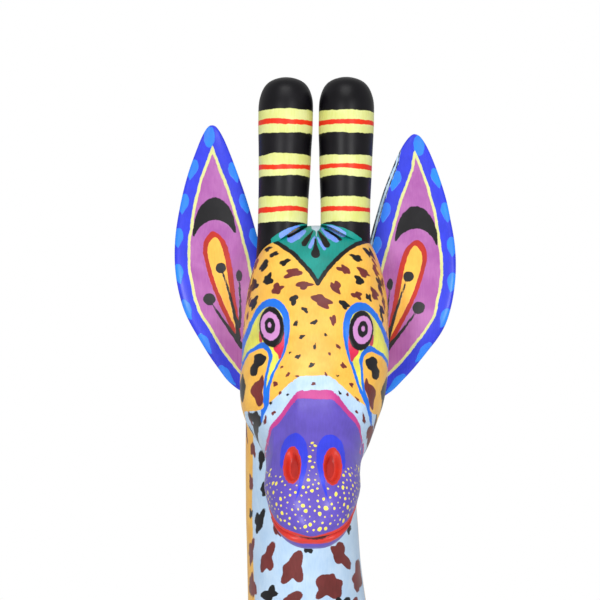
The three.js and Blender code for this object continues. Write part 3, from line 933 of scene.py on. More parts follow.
horn = {
    "across": {"left": 10.4, "right": -11.9},
    "foot": (-19.0, 650.0),
    "lean": math.radians(9),
    # height up the horn's own axis, radius
    "stations": [
        (-4, 0), (-3, 6), (2, 8.9), (14, 8.8), (28, 8.9),
        (42, 9.3), (54, 9.75), (62, 9.4), (67.5, 6.4), (69.5, 0),
    ],
    "bands": [(17.2, 26.1, 21.7), (33.5, 41.1, 36.8), (48.9, 57.0, 52.8)],  # low, high, red stripe
    "sway": {"left": (-0.4, -0.2), "right": (-0.6, 0.8)},  # mm that the foot and the top lie off line
    "swayTop": 62,
    "stripe": 0.86,  # mm, half the width of a red stripe
    "spill": 9.3,  # mm from the axis that the black runs to
    "rings": 150,
    "around": 120,
}
hornUp = np.array([0, math.sin(horn["lean"]), math.cos(horn["lean"])])


def hornFoot(which):
    return np.array([horn["across"][which], *horn["foot"]])


def hornSpill(points, which):
    # black paint that ran past the horn's foot, further out on the horn's outer side
    offset = points - hornFoot(which)
    height = offset @ hornUp
    aside = offset - height[..., None] * hornUp
    outward = aside[..., 0] * np.sign(horn["across"][which])
    frontward = -aside[..., 1]
    reach = horn["spill"] + 0.8 * np.clip(outward / 9, 0, 1) * np.clip(1 - frontward / 6, 0, 1)
    return reach - np.linalg.norm(aside, axis=-1) + 0.5 * noise(points, 4, 51)


def makeHead():
    form = carve(headRows(), head["rings"], head["around"], head["square"])
    u, v, along, above = plane(form["points"], form)
    normal = normalsOf(form)
    depth = np.zeros(u.shape)
    front = normal[..., 1] < 0.35
    for side in (-1, 1):
        a, b = drawnOn(u, v, side)
        eye = oval(a, b, (-15.1, -0.2), (5.0, 7.8), 4)
        depth += np.where(front, head["eyeRise"] * bump(eye + 0.9, 2.2), 0)
        socket = oval(a, b, (-17.0, -2.5), (8.4, 11.5), 8)
        depth -= np.where(front, 0.8 * bump(socket, 3.0), 0)
        hollow = oval(*nostrilOn(u, v, side), (-8.2, -48.3), (3.2, 6.4))
        depth -= np.where(front & (along > 90), head["nostrilDepth"] * bump(hollow, 1.6), 0)
    slit = np.abs(above - mouthHeight(along))
    depth -= head["mouthDepth"] * bump(0.9 - slit, 0.8) * bump(along - mouth["corner"], 6)
    # the lips swell a little on both sides of the slit
    depth += 0.45 * bump(-lipGap(along, above), 1.6) * bump(slit - 0.4, 1.2)
    # planed flat along the top of the muzzle, with a soft bevel to each side
    top = np.where(along > 60, above, -99).max(axis=1)[:, None]
    wanted = top - 0.25 - 0.62 * np.maximum(0, np.abs(u) - 6.2)
    onMuzzle = bump(along - 66, 16) * bump(118 - along, 14) * (above > 0)
    cut = np.clip(above - wanted, 0, 1.4) * onMuzzle
    depth -= 0.8 * cut
    # the crown stays broad in front of the horns
    shoulder = bump(8.0 - np.abs(np.abs(form["points"][..., 0]) - 16.5), 8.0) * bump(30 - along, 16)
    depth += 1.7 * shoulder * (above > 12)
    depth += 0.22 * noise(form["points"], 11, 11) + 0.08 * noise(form["points"], 4, 12)
    form["points"] = form["points"] + depth[..., None] * normal
    across, height = seen(form["points"])
    jaw = np.clip((-56 - height) / 10, 0, 1) * np.clip((along - 92) / 14, 0, 1)
    form["points"][..., 0] -= head["jawTaper"] * jaw * (across + 0.6)
    chin = bump(7.5 - np.hypot(across / 2.4, height + 77), 6.5) * bump(along - 96, 12)
    form["points"][..., 2] -= head["chinDrop"] * chin
    lean = head["cheekLean"] * np.exp(-(((v + 26) / 11) ** 2)) * bump(80 - along, 12)
    form["points"][..., 0] -= lean
    for end in (0, -1):
        form["points"][end] = form["points"][end].mean(axis=0)
    normal = normalsOf(form)
    fields = facePaint(form, normal, u, v, along, above)
    coats = [
        ("sky", "sky"), ("brown", "brown"), ("inkSpots", "ink"), ("teal", "teal"),
        ("periwinkle", "periwinkle"),
        ("spill", "ink"), ("mist", "mist"), ("ink", "ink"), ("cobalt", "cobalt"), ("lemon", "lemon"),
        ("crimson", "crimson"),
        ("cobaltArch", "cobalt"), ("ochreArch", "ochre"), ("brownArch", "brown"), ("inkEye", "ink"),
        ("rose", "rose"), ("inkRing", "ink"), ("roseDot", "rose"), ("magenta", "magenta"),
        ("violet", "violet"), ("hook", "ultramarine"), ("dots", "yolk"), ("nostril", "scarlet"),
        # slit: the mouth's dark slit, painted shade in its carved groove
        ("hollow", "nostrilShade"), ("lips", "lipRed"), ("slit", "slitShade"),
    ]
    piece = makePiece("head_carving", form, fields)
    streakTurn = (math.radians(127), 0, 0)
    piece.data.materials.append(paintedWood("acrylic on carved copal, face", "ochre", coats, streakTurn))
    settle(piece, "carving", "head_paint", "head")
    return piece


makeHead()


def makeHorn(which):
    rows = [[*(hornFoot(which) + height * hornUp), radius, radius] for height, radius in horn["stations"]]
    form = carve(rows, horn["rings"], horn["around"])
    normal = normalsOf(form)
    form["points"] = form["points"] + (0.2 * noise(form["points"], 12, 61))[..., None] * normal
    height = (form["points"] - hornFoot(which)) @ hornUp
    foot, top = horn["sway"][which]
    form["points"][..., 0] += foot + (top - foot) * np.clip(height / horn["swayTop"], 0, 1)
    wave = 0.35 * noise(form["points"], 7, 62) + 0.2 * noise(form["points"], 3, 63)
    yellow, red = [], []
    for low, high, middle in horn["bands"]:
        yellow.append(within(height - low, high - height) + wave)
        drift = 0.55 * noise(form["points"] * [1, 1, 0.2], 8, 64 + int(low))
        red.append(horn["stripe"] + 0.5 * wave - np.abs(height - middle - drift))
    fields = {"straw": over(*yellow), "redStripe": over(*red)}
    # the crest's teal climbs onto the front of the horn's foot
    u, v = seen(form["points"])
    inFront = (normal[..., 1] < 0.1) & (np.abs(u - head["eyeAside"]) < 16.2)
    low = only(inFront, underArch(u, v) + 0.4 * wave)
    petals, pale, fan = crestPetals(u, v)
    fields.update(teal=low, periwinkle=within(low, petals), mist=within(low, pale), fan=within(low, fan))
    form["points"] = pushClear(form["points"], hornUp, [insideHead], 30)
    piece = makePiece(f"horn_{which}_carving", form, fields)
    piece.data.materials.append(hornPaint)
    settle(piece, f"horn_{which}", "horn_paint", f"horn_{which}")


hornPaint = paintedWood(
    "acrylic on turned copal, horn",
    "ink",
    [
        ("straw", "straw"), ("redStripe", "flame"), ("teal", "teal"), ("periwinkle", "periwinkle"),
        ("mist", "mist"), ("fan", "ink"),
    ],
    look={"roughness": (0.3, 0.5), "specular": 0.24},
)
for which in horn["across"]:
    makeHorn(which)

ear = {
    # x, y, z, half width, half thickness, for the left ear
    "stations": [
        (24.8, -9, 606.8, 0, 0),
        (25.9, -9, 611.4, 5.4, 2),
        (27.3, -9, 618.6, 9, 2.9),
        (29.8, -9, 629.4, 12.9, 3.5),
        (32.7, -8.5, 640.2, 15.3, 3.6),
        (34.8, -7, 651, 15.7, 3.5),
        (36.2, -5, 661.8, 14.5, 3.3),
        (36.9, -3, 672.5, 12.2, 3),
        (37.4, -1, 683.3, 9.1, 2.7),
        (37.6, 1, 694, 5.2, 2.3),
        (37.7, 2, 699.8, 2.1, 1.7),
        (37.7, 2.2, 701.2, 0, 0),
    ],
    "drop": {"left": 3.0, "right": 0.0},
    "hollow": 0.8,
    "rings": 230,
    "around": 150,
    "border": 4.6,
    "lean": 0.028,  # of its height, that the left ear leans in
    "inset": 1.3,  # mm that the left ear sits further in
    "tuck": 0.14,  # how far the left ear's root tucks in, by its depth below the ear's middle
    "tuckBelow": 638,  # mm
    "slant": 0.064,  # how far the left ear's drawing leans out below slantBelow
    "slantBelow": 36,
    "edge": 1.7,  # mm of the left ear's inner edge that turns to the front
    "outerBlobs": (55.5, 43.5, 31.5, 19.0, 6.5, -5.5, -16.5),
    "innerBlobs": (54.5, 43.5, 31.5, 19.0),
}


earTear = [
    (-35.2, 33.4), (-38.0, 31.6), (-39.3, 27.4), (-38.4, 22.2), (-36.1, 14.2), (-32.2, 5),
    (-27.4, -4.3), (-26.0, -3.6), (-26.6, 2), (-27.8, 10), (-29.1, 21), (-31.2, 29.4),
]
earCore = [
    (-35.0, 31.4), (-36.9, 29.6), (-37.6, 26.4), (-36.6, 21.2), (-34.2, 13.6), (-30.4, 4.9),
    (-27.2, -1.6), (-28.4, 5), (-30.0, 14), (-31.6, 24), (-33.2, 29.6),
]


def makeEar(which):
    side = 1 if which == "left" else -1
    rows = np.array([[side * x, y, z - ear["drop"][which], w, h] for x, y, z, w, h in ear["stations"]])
    if which == "left":
        rows[:, 0] -= ear["inset"] + ear["lean"] * np.maximum(0, rows[:, 2] - eyeHeight - 8)
        rows[:, 0] -= ear["tuck"] * np.maximum(0, ear["tuckBelow"] - rows[:, 2])
        turnedEdge = ear["edge"] / 2 * np.minimum(1, rows[:, 3] / 7)
        rows[:, 0] -= turnedEdge
        rows[:, 3] += turnedEdge
    form = carve(rows, ear["rings"], ear["around"], hollow=ear["hollow"])
    normal = normalsOf(form)
    form["points"] = form["points"] + (0.15 * noise(form["points"], 9, 71))[..., None] * normal
    # the drawing is the right ear's, mirrored for the left one
    a, b = seen(form["points"])
    if side > 0:
        a = 2 * head["eyeAside"] - a - ear["lean"] * np.maximum(0, b - 8)
        b = b + ear["drop"]["left"]
        a = a - ear["slant"] * np.maximum(0, ear["slantBelow"] - b)
    half = ear["around"] // 2
    sides = [np.stack([a[:, k], b[:, k]], axis=1) for k in (0, half)]
    outer, inner = sorted(sides, key=lambda line: line[:, 0].mean())
    if side > 0:
        height = inner[:, 1]
        inner[:, 0] -= ear["edge"] * np.clip((height - 10) / 10, 0, 1) * np.clip((66 - height) / 6, 0, 1)
    rim = np.vstack([outer, inner[::-1]])
    inset = drawn(a, b, np.vstack([rim, rim[:1]]), closed=True)
    front = np.broadcast_to(np.sin(form["angle"]) > 0.0, a.shape)
    ragged = 0.25 * noise(form["points"], 5, 72)
    fields = {"butter": only(front, inset - ear["border"] + ragged)}
    fields["mauve"] = only(front, inset - ear["border"] - 1.0 + ragged)
    # bright drops hung along the rim, round above and pointed below
    blobs = [oval(a, b, (-37, 66.6), (1.9, 3.7))]
    for line, heights in ((outer, ear["outerBlobs"]), (inner, ear["innerBlobs"])):
        order = np.argsort(line[:, 1])
        for height in heights:
            levels = height + np.array([2.0, 0.4, -1.8, -3.8])
            inward = np.sign(-36 - line[:, 0].mean())
            reach = np.interp(levels, line[order, 1], line[order, 0])
            reach = reach + inward * np.array([1.0, 1.1, 1.0, 1.2])
            blobs.append(stroke(a, b, list(zip(reach, levels, (1.1, 1.7, 1.2, 0.2)))))
    fields["azure"] = only(front, over(*blobs))
    arch = within(
        oval(a, b, (-35.2, 32.0), (7.6, 13.3)),
        -oval(a, b, (-35.0, 27.4), (7.9, 10.0)),
        b - 32.2 - 0.1 * (a + 35.8),
    )
    fields["tear"] = only(front, filled(a, b, earTear))
    fields["core"] = only(front, filled(a, b, earCore))
    stamens = over(
        oval(a, b, (-33.0, 20.6), (1.85, 1.85)),
        oval(a, b, (-37.0, 9.7), (2.15, 2.15)),
        oval(a, b, (-26.6, 17.8), (1.1, 2.1)),
        stroke(a, b, [(-32.3, 19, 0.35), (-29.8, 11, 0.45), (-27.6, 1.5, 0.62), (-26.6, -4, 0.7)]),
        stroke(a, b, [(-36.0, 8, 0.35), (-32.0, 2.0, 0.5), (-27.6, -4, 0.8), (-25.6, -7, 0.9)]),
        stroke(a, b, [(-26.5, 15.5, 0.35), (-26.2, 8, 0.42), (-26.4, 0, 0.5)]),
    )
    fields["stamens"], fields["arch"] = only(front, stamens), only(front, arch)
    # the left ear's inner edge is light blue too, with two fine black lines
    strip = only((inset < 0) & (side > 0), -inset)
    fields["strip"] = strip
    fields["lines"] = only(strip > 0, 0.16 - np.minimum(np.abs(strip - 0.3), np.abs(strip - 1.3)))
    # the back is light blue, edged in black, with a few brown spots
    fields["sky"] = only(~front, inset - 0.3 + ragged)
    fields["edge"] = only(~front, 0.45 - np.abs(inset - 2.0 - 1.5 * ragged))
    marks = spotsAt(scatter(form, ~front & (inset > 4), 8, 73), (4, 7), 74)
    fields["spots"] = only(~front, spotField(form, normal, marks, 0.22, 75))
    form["points"] = pushClear(form["points"], [side, 0, 0], [insideHead, insideNeck], 30)
    piece = makePiece(f"ear_{which}_carving", form, fields)
    piece.data.materials.append(earPaint)
    settle(piece, f"ear_{which}", "ear_paint", f"ear_{which}")


neckRows = [
    (-4.5, -9, 640, 0, 0),
    (-4.5, -8.5, 638, 11, 11.5),
    (-4.8, -7.5, 630, 16.5, 18),
    (-5.7, -4.5, 612, 19.2, 20.5),
    (-6.3, 0, 590, 19.3, 22),
    (-6.1, 6, 565, 19.6, 24),
    (-4.6, 14, 535, 20.9, 26),
    (-1.5, 25, 492, 24.5, 29),
    (0, 40, 446, 28, 34.5),
    (0, 56, 405, 33, 41),
    (0, 71, 374, 35, 44),
    (0, 84, 352, 30, 38),
    (0, 92, 338, 16, 20),
    (0, 94, 335, 0, 0),
]
insideNeck = insideOf(neckRows, (0, 0, -1))
bodyRows = [
    (0, 24, 352, 0, 0),
    (0, 27, 352, 20, 23),
    (0, 40, 351, 34, 42),
    (0, 65, 349, 42, 54),
    (0, 95, 345, 45, 57),
    (0, 130, 338, 45.5, 54),
    (0, 170, 330, 44, 50),
    (0, 205, 324, 42, 47),
    (0, 228, 320, 34, 39),
    (0, 241, 318, 19, 22),
    (0, 245, 317, 0, 0),
]
insideBody = insideOf(bodyRows, (0, 1, 0), 2.2)
earPaint = paintedWood(
    "acrylic on carved copal, ear",
    "ultramarine",
    [
        ("azure", "azure"), ("butter", "butter"), ("mauve", "mauve"), ("arch", "ink"), ("tear", "rust"),
        ("core", "ochre"), ("stamens", "slate"), ("sky", "sky"), ("edge", "ink"),
        ("spots", "brown"), ("strip", "sky"), ("lines", "ink"),
    ],
)
for which in ear["drop"]:
    makeEar(which)

hide = {
    "rough": 0.27,  # how ragged a patch is
    # lengths in mm, spacing in mm, share of black, slenderness, turns in degrees
    "throat": ((7.0, 10.5), 12.5, 0.3, (0.55, 0.9), (0, 180)),
    "neckBack": ((6.0, 9.5), 9.5, 0.4, (0.4, 0.7), (60, 120)),
    "flank": ((11.0, 21.0), 17.5, 0.32, (0.5, 0.85), (0, 180)),
    "flankFlecks": ((3.5, 6.5), 8.5, 0.6, (0.5, 0.9), (0, 180)),
    "belly": ((7.0, 13.0), 15, 0.3, (0.55, 0.9), (0, 180)),
    "thigh": ((9, 17), 16, 0.32, (0.5, 0.85), (0, 180)),
    "thighFlecks": ((3, 6), 8, 0.6, (0.5, 0.9), (0, 180)),
    "shank": ((6.0, 12.0), 10.5, 0.35, (0.4, 0.75), (60, 120)),
    "tail": ((4, 7.5), 6.5, 0.5, (0.4, 0.7), (70, 110)),
}
neckSpots = [  # u, v, length, width, turn, paint, on the part of the throat below the chin
    (-16.6, -81.0, 10.0, 4.3, 80, "brown"), (-7.5, -85.2, 9.6, 8.0, 70, "brown"),
    (8.7, -79.8, 9.0, 5.2, 125, "brown"), (4.6, -91.0, 10.5, 8.0, 40, "brown"),
    (14.9, -87.4, 9.6, 3.6, 85, "brown"), (-2.4, -78.0, 3.2, 2.8, 0, "ink"),
    (-19.5, -67.8, 8.0, 3.0, 80, "ink"), (-13.3, -69.5, 7.0, 3.2, 105, "brown"),
    (-17.8, -57.0, 4.8, 2.4, 80, "ink"), (-18.6, -46.2, 6.8, 2.4, 80, "ink"),
    (-16.0, -93.5, 5.4, 4.6, 20, "ink"), (-7.6, -95.4, 7.0, 4.6, 10, "brown"),
    (11.8, -71.0, 3.2, 1.5, 90, "ink"), (12.8, -98.0, 6.0, 4.0, 60, "brown"),
    # the narrow ochre strip that shows to the left of the blue
    (-21.7, -43.0, 5.2, 1.6, 92, "brown"), (-22.4, -54.6, 5.0, 1.5, 88, "brown"),
    (-22.4, -65.5, 3.4, 1.2, 90, "ink"), (-22.3, -78.5, 7.6, 2.0, 88, "brown"),
    (-21.9, -91.0, 9.0, 2.2, 94, "brown"),
]
hideSeeds = iter(range(100, 400))


def around(form, points):
    # degrees round the spine from its front or under side, above 0 to the giraffe's left
    offset = points - form["row"][:, None, :3]
    front = form["up"] * -np.sign(form["up"][:, 1:2] + 1e-9)
    return np.degrees(np.arctan2(offset[..., 0], np.sum(offset * front[:, None], axis=-1)))


def spotted(form, normal, zones, spread=0.0):
    # brown and black patches scattered over each zone of the hide; spread is mm of further spacing
    chosen = {"brown": [], "ink": []}
    for zone, allowed in zones.items():
        lengths, spacing, black, slender, turns = hide[zone]
        rng = np.random.default_rng(next(hideSeeds))
        for vertex in scatter(form, allowed, spacing + spread, next(hideSeeds)):
            length = rng.uniform(*lengths)
            paint = "ink" if rng.random() < black else "brown"
            chosen[paint].append((vertex, length, length * rng.uniform(*slender), rng.uniform(*turns)))
    fields = {}
    for paint, marks in chosen.items():
        fields[paint] = spotField(form, normal, marks, hide["rough"], next(hideSeeds))
    return fields


def unevenly(form, amount, cell, seed):
    # the shallow facets that a knife and sandpaper leave
    normal = normalsOf(form)
    form["points"] = form["points"] + (amount * noise(form["points"], cell, seed))[..., None] * normal
    return normalsOf(form)


mane = {"halfWidth": 8.5, "outline": 1.1, "petalStep": 17.0, "low": 402.0, "high": 606.0}


def makeNeck():
    form = carve(neckRows, 400, 240)
    normal = unevenly(form, 0.3, 16, 81)
    points = form["points"]
    height = points[..., 2]
    turn = around(form, points)
    radius = np.maximum(form["row"][:, 3], 1)[:, None]
    halfBlue = 72 + 26 * np.clip((450 - height) / 60, 0, 1)
    blue = np.radians(halfBlue - np.abs(turn - 17 * np.clip((height - 400) / 60, 0, 1))) * radius
    fields = {"sky": blue + 0.8 * noise(points, 9, 82)}
    # the mane is a teal stripe down the nape, edged in black like the crest, with a row of petals
    behind = np.radians(180 - np.abs(turn)) * np.sign(-turn) * radius
    nape = np.where(np.abs(turn) > 90, behind, far * 9)
    wide = mane["halfWidth"] + 1.2 * np.sin((height - mane["low"]) * 2 * np.pi / mane["petalStep"])
    stripe = within(wide - np.abs(nape), height - mane["low"], mane["high"] + 30 - height)
    fields["teal"] = stripe
    fields["maneEdge"] = mane["outline"] - np.abs(stripe)
    petals, drops = [], []
    for step in range(int((mane["high"] - mane["low"]) // mane["petalStep"])):
        low = mane["low"] + 7 + step * mane["petalStep"]
        for way in (-1, 1):
            petal = [(0, low + 12, 0.3), (3.6 * way, low + 7, 1.1), (4.6 * way, low + 2.5, 0.9)]
            petals.append(stroke(nape, height, petal, 4))
        drops.append(stroke(nape, height, [(0, low + 10, 0.2), (0, low + 5, 0.9), (0, low + 1.5, 1.6)], 4))
    fields["periwinkle"], fields["drops"] = over(*petals), over(*drops)
    # patches: listed one by one where the throat shows below the chin, scattered everywhere else
    u, v = seen(points)
    shown = (normal[..., 1] < 0.3) & (v < -37) & (v > -99)
    clear = ~shown
    low = np.clip((540 - height) / 120, 0, 1)
    zones = {"throat": clear & (blue > 4), "neckBack": clear & (blue < -3) & (stripe < -3.5)}
    fields.update(spotted(form, normal, zones, 3 * low))
    inFront = normal[..., 1] < -0.1
    for paint, seed in (("brown", 88), ("ink", 89)):
        byHand = drawnSpots(u, v, neckSpots, paint, face["rough"], seed)
        fields[paint] = over(fields[paint], only(inFront, byHand))
    form["points"] = pushClear(form["points"], (0, 0.2, -1), [insideHead], 60)
    form["points"] = pushClear(form["points"], (0, -0.5, 0.87), [insideBody], 110)
    piece = makePiece("neck_carving", form, fields)
    coats = [
        ("sky", "sky"), ("brown", "brown"), ("ink", "ink"), ("teal", "teal"), ("periwinkle", "periwinkle"),
        ("drops", "ink"), ("maneEdge", "ink"),
    ]
    piece.data.materials.append(paintedWood("acrylic on carved copal, neck", "ochre", coats))
    settle(piece, "carving", "neck_paint", "neck")


saddle = {
    "outline": [
        (0, 78), (8, 92), (17, 106), (27, 122), (33, 138), (27, 154), (17, 168), (8, 182),
        (0, 198), (-8, 182), (-17, 168), (-27, 154), (-33, 138), (-27, 122), (-17, 106), (-8, 92),
    ],
    "middle": 138,
    "line": 1.3,  # mm, half the width of its black edge
}


def makeBody():
    form = carve(bodyRows, 330, 290, 2.2)
    normal = unevenly(form, 0.45, 24, 91)
    points = form["points"]
    offset = points - form["row"][:, None, :3]
    under = np.degrees(np.arctan2(np.abs(offset[..., 0]), -offset[..., 2]))
    radius = np.maximum(form["row"][:, 4], 1)[:, None]
    chest = np.clip((72 - points[..., 1]) / 40, 0, 1)
    blue = np.radians(62 + 8 * np.sin(points[..., 1] / 21) + 75 * chest - under) * radius
    fields = {"sky": blue + 1.2 * noise(points, 12, 92)}
    # a teal saddle on the back, a diamond edged in black with petals at both ends
    x, y = points[..., 0], points[..., 1]
    onBack = normal[..., 2] > 0.15
    inner = filled(x, y, saddle["outline"])
    fields["teal"] = only(onBack, inner)
    fan, leaves = [], []
    for way in (-1, 1):
        for lean in (-54, -27, 0, 27, 54):
            between = 13.5 * (1 if lean >= 0 else -1)
            for reach, width, swing, into in ((30, 2.3, 0, fan), (23, 2.6, between, leaves)):
                angle = math.radians(lean) + math.radians(swing)
                c, t = math.cos(angle), math.sin(angle)
                leaf = [(3 * t, 4 * c, 0.3), (reach * 0.55 * t, reach * 0.62 * c, width * 0.6)]
                leaf.append((reach * 0.82 * t, reach * c, width))
                spine = [(across, saddle["middle"] + way * along, half) for across, along, half in leaf]
                into.append(stroke(x, y, spine, 5))
    fields["leaves"] = only(onBack, over(*leaves))
    button = oval(x, y, (0, saddle["middle"]), (2.4, 2.4))
    fields["fan"] = only(onBack, over(*fan, button, saddle["line"] - np.abs(inner)))
    flank = (blue < -3) & ((inner < -5) | ~onBack)
    fields.update(spotted(form, normal, {"flank": flank, "flankFlecks": flank, "belly": blue > 4}))
    piece = makePiece("body_carving", form, fields)
    coats = [
        ("sky", "sky"), ("brown", "brown"), ("ink", "ink"), ("teal", "teal"), ("leaves", "periwinkle"),
        ("fan", "ink"),
    ]
    piece.data.materials.append(
        paintedWood("acrylic on carved copal, body", "ochre", coats, (math.radians(90), 0, 0))
    )
    settle(piece, "carving", "body_paint", "body")


legs = {
    "front": {
        # x, y, z, half width, half depth, for the left leg
        "stations": [
            (18, 66, 396, 0, 0),
            (20, 66, 390, 11, 17),
            (26, 66, 366, 18, 28),
            (29.5, 66, 330, 19.5, 29),
            (29.5, 65, 290, 17, 24),
            (28.5, 63, 250, 14.5, 18),
            (27.5, 62, 205, 12.6, 14),
            (27, 61, 172, 13, 14.2),
            (27, 61, 142, 12, 12.5),
            (27, 60, 100, 10.5, 11),
            (27, 59, 62, 10, 10.5),
            (27, 58, 38, 11.5, 12.5),
            (27, 56, 22, 14, 16),
            (27, 54, 4, 15.5, 18.5),
            (27, 54, -8, 12, 14),
            (27, 54, -12, 0, 0),
        ],
    },
    "hind": {
        "stations": [
            (16, 200, 382, 0, 0),
            (18, 200, 376, 11, 18),
            (24, 202, 354, 18.5, 32),
            (28, 203, 320, 21, 35),
            (28.5, 203, 285, 19, 30),
            (28, 205, 250, 16, 22),
            (28, 210, 215, 13.5, 16.5),
            (28, 216, 182, 12.6, 14.6),
            (28, 216, 150, 12, 13),
            (28, 212, 108, 10.5, 11),
            (28, 209, 62, 10, 10.5),
            (28, 207, 38, 11.5, 12.5),
            (28, 204, 22, 14, 16),
            (28, 202, 4, 15.5, 18.5),
            (28, 202, -8, 12, 14),
            (28, 202, -12, 0, 0),
        ],
    },
    "bands": [(62.0, 71.0, 66.4), (80.0, 88.5, 84.2), (97.5, 105.5, 101.4)],  # low, high, red stripe
    "stripe": 0.8,  # mm, half the width of a red stripe
    "apart": 27,  # mm from the middle to a shin
    "insideTop": 250,  # mm, where the light blue inside of a leg ends
    "thigh": 200,  # mm, above which the patches are large
    "blackTop": 114.0,
    "hoofTop": 40.0,
    "magenta": 4.5,
    "skyTop": 54.0,
}


def makeLeg(pair, which):
    side = 1 if which == "left" else -1
    rows = [(side * x, y, z, w, h) for x, y, z, w, h in legs[pair]["stations"]]
    form = carve(rows, 420, 110)
    form["points"][..., 2] = np.maximum(form["points"][..., 2], 0)
    normal = normalsOf(form)
    points = form["points"]
    height = points[..., 2]
    carved = (0.3 * noise(points, 14, 95) * np.clip(height / 8, 0, 1))[..., None] * normal
    form["points"] = points + carved
    wave = 0.5 * noise(points, 8, 96)
    frontward = np.clip((legs[pair]["stations"][12][1] - points[..., 1]) / 14, -1, 1)
    hoof = legs["hoofTop"] - height - 5 * frontward + wave
    fields = {
        "shin": within(legs["blackTop"] - height + wave, height - legs["skyTop"] + wave),
        "sky": legs["skyTop"] - height + wave,
        "magenta": hoof,
        "violet": hoof - legs["magenta"],
        "straw": over(*[within(height - low, high - height) + 0.6 * wave for low, high, _ in legs["bands"]]),
        "redStripe": over(
            *[legs["stripe"] + 0.4 * wave - np.abs(height - middle - wave) for _, _, middle in legs["bands"]]
        ),
    }
    inward = legs["apart"] - side * points[..., 0]
    fields["inside"] = within(inward - 3.0 + 1.2 * noise(points, 12, 97), legs["insideTop"] - height)
    upper = (height > legs["blackTop"] + 4) & (normal[..., 2] < 0.9)
    thigh, shank = upper & (height > legs["thigh"]), upper & (height < legs["thigh"])
    fields.update(spotted(form, normal, {"thigh": thigh, "thighFlecks": thigh, "shank": shank}))
    fringe = scatter(form, (height < legs["skyTop"] - 2) & (hoof < -2), 5, next(hideSeeds))
    fields["flecks"] = spotField(form, normal, [(k, 2.6, 1.5, 90) for k in fringe], 0.2, next(hideSeeds))
    rng = np.random.default_rng(next(hideSeeds))
    dots = scatter(form, (hoof > legs["magenta"] + 2.0) & (height > 2), 5.2, next(hideSeeds))
    marks = [(k, size, size, 0) for k, size in zip(dots, rng.uniform(1.7, 3.0, len(dots)))]
    fields["dots"] = spotField(form, normal, marks, 0.1, next(hideSeeds))
    name = f"{pair}_leg_{which}"
    piece = makePiece(f"{name}_carving", form, fields)
    piece.data.materials.append(legPaint)
    settle(piece, "carving", "leg_paint", name)


tailRows = [
    (0, 230, 347, 0, 0),
    (0, 232, 347.5, 3.5, 3.5),
    (0, 240, 349.5, 5.2, 5.2),
    (0, 250, 345, 4.8, 4.8),
    (0, 257, 330, 4.2, 4.2),
    (0, 260, 300, 3.7, 3.7),
    (0, 260, 262, 3.6, 3.6),
    (0, 260, 242, 4.6, 4.6),
    (0, 260, 222, 8.4, 7.6),
    (0, 260, 198, 10, 9),
    (0, 259, 172, 7, 6.4),
    (0, 258, 152, 2.6, 2.4),
    (0, 258, 148, 0, 0),
]
tail = {"tuftTop": 243.0, "band": (247.0, 256.0, 251.5), "locks": 9, "lockDepth": 0.9, "spotsFrom": 262}


def makeTail():
    form = carve(tailRows, 330, 120)
    normal = unevenly(form, 0.15, 8, 98)
    points = form["points"]
    height = points[..., 2]
    offset = points - form["row"][:, None, :3]
    turn = np.arctan2(offset[..., 0], offset[..., 1])
    below = np.clip((tail["tuftTop"] - height) / 14, 0, 1) * (points[..., 1] > 240)
    # shallow grooves carved down the tuft, turning slowly as hair does
    lock = np.cos(tail["locks"] * (turn + (height - 200) / 55))
    form["points"] = points + (tail["lockDepth"] * (lock - 0.3) * below)[..., None] * normal
    low, high, middle = tail["band"]
    wave = 0.3 * noise(points, 6, 99)
    fields = {
        "tuft": tail["tuftTop"] + 14 - height + wave,
        "straw": within(height - low, high - height) + wave,
        "redStripe": 0.7 - np.abs(height - middle - wave),
        "locks": within(lock * 2.2 - 1.75, tail["tuftTop"] - 6 - height, height - 158),
    }
    fields.update(spotted(form, normal, {"tail": height > tail["spotsFrom"]}))
    form["points"] = pushClear(form["points"], (0, 1, 0), [insideBody], 30)
    piece = makePiece("tail_carving", form, fields)
    coats = [
        ("brown", "brown"), ("ink", "ink"), ("tuft", "ink"), ("straw", "straw"), ("redStripe", "flame"),
        ("locks", "periwinkle"),
    ]
    piece.data.materials.append(paintedWood("acrylic on carved copal, tail", "ochre", coats))
    settle(piece, "tail", "tail_paint", "tail")


makeNeck()
makeBody()
legPaint = paintedWood(
    "acrylic on carved copal, leg",
    "ochre",
    [
        ("inside", "sky"), ("brown", "brown"), ("ink", "ink"), ("sky", "sky"), ("flecks", "brown"),
        ("shin", "ink"), ("straw", "straw"), ("redStripe", "flame"), ("magenta", "magenta"),
        ("violet", "violet"), ("dots", "yolk"),
    ],
)
for pair in ("front", "hind"):
    for which in ear["drop"]:
        makeLeg(pair, which)
makeTail()

grain = {
    "ring": 1.3,  # mm
    "length": 14.0,
    "pore": 0.25,
    "pores": 0.35,  # how much the pores shift the tone
    "poreShift": -0.17,
    "tones": ("#c9a878", "#a87f50"),
    "stops": (0.36, 0.66),
    "relief": (0.4, 0.1),  # strength, mm
    "roughness": 0.62,
}


def bareWood(name, turn):
    # Turned and sanded hardwood left bare inside the joints: straight grain lines that run along the
    # peg, fine dark pores and a dry, matt skin. turn leads the grain along the peg.
    material, tree, place = startMaterial(name)
    ring = grain["ring"] / 1000
    along = stretched(tree, place, turn, (ring, ring, grain["length"] / 1000))
    rings = noiseOf(tree, along, 1.0, 4.0, 0.4)
    pores = noiseOf(tree, along, grain["ring"] / grain["pore"], 2.0)
    figure = maths(tree, "ADD", maths(tree, "MULTIPLY_ADD", pores, grain["pores"], grain["poreShift"]), rings)
    ramp = addNode(tree, "ShaderNodeValToRGB", {}, {"Fac": figure})
    for element, stop, tone in zip(ramp.color_ramp.elements, grain["stops"], grain["tones"]):
        element.position, element.color = stop, linear(tone)
    skin = {"Base Color": ramp.outputs["Color"], "Roughness": grain["roughness"]}
    finishMaterial(tree, figure, *grain["relief"], skin)
    return material


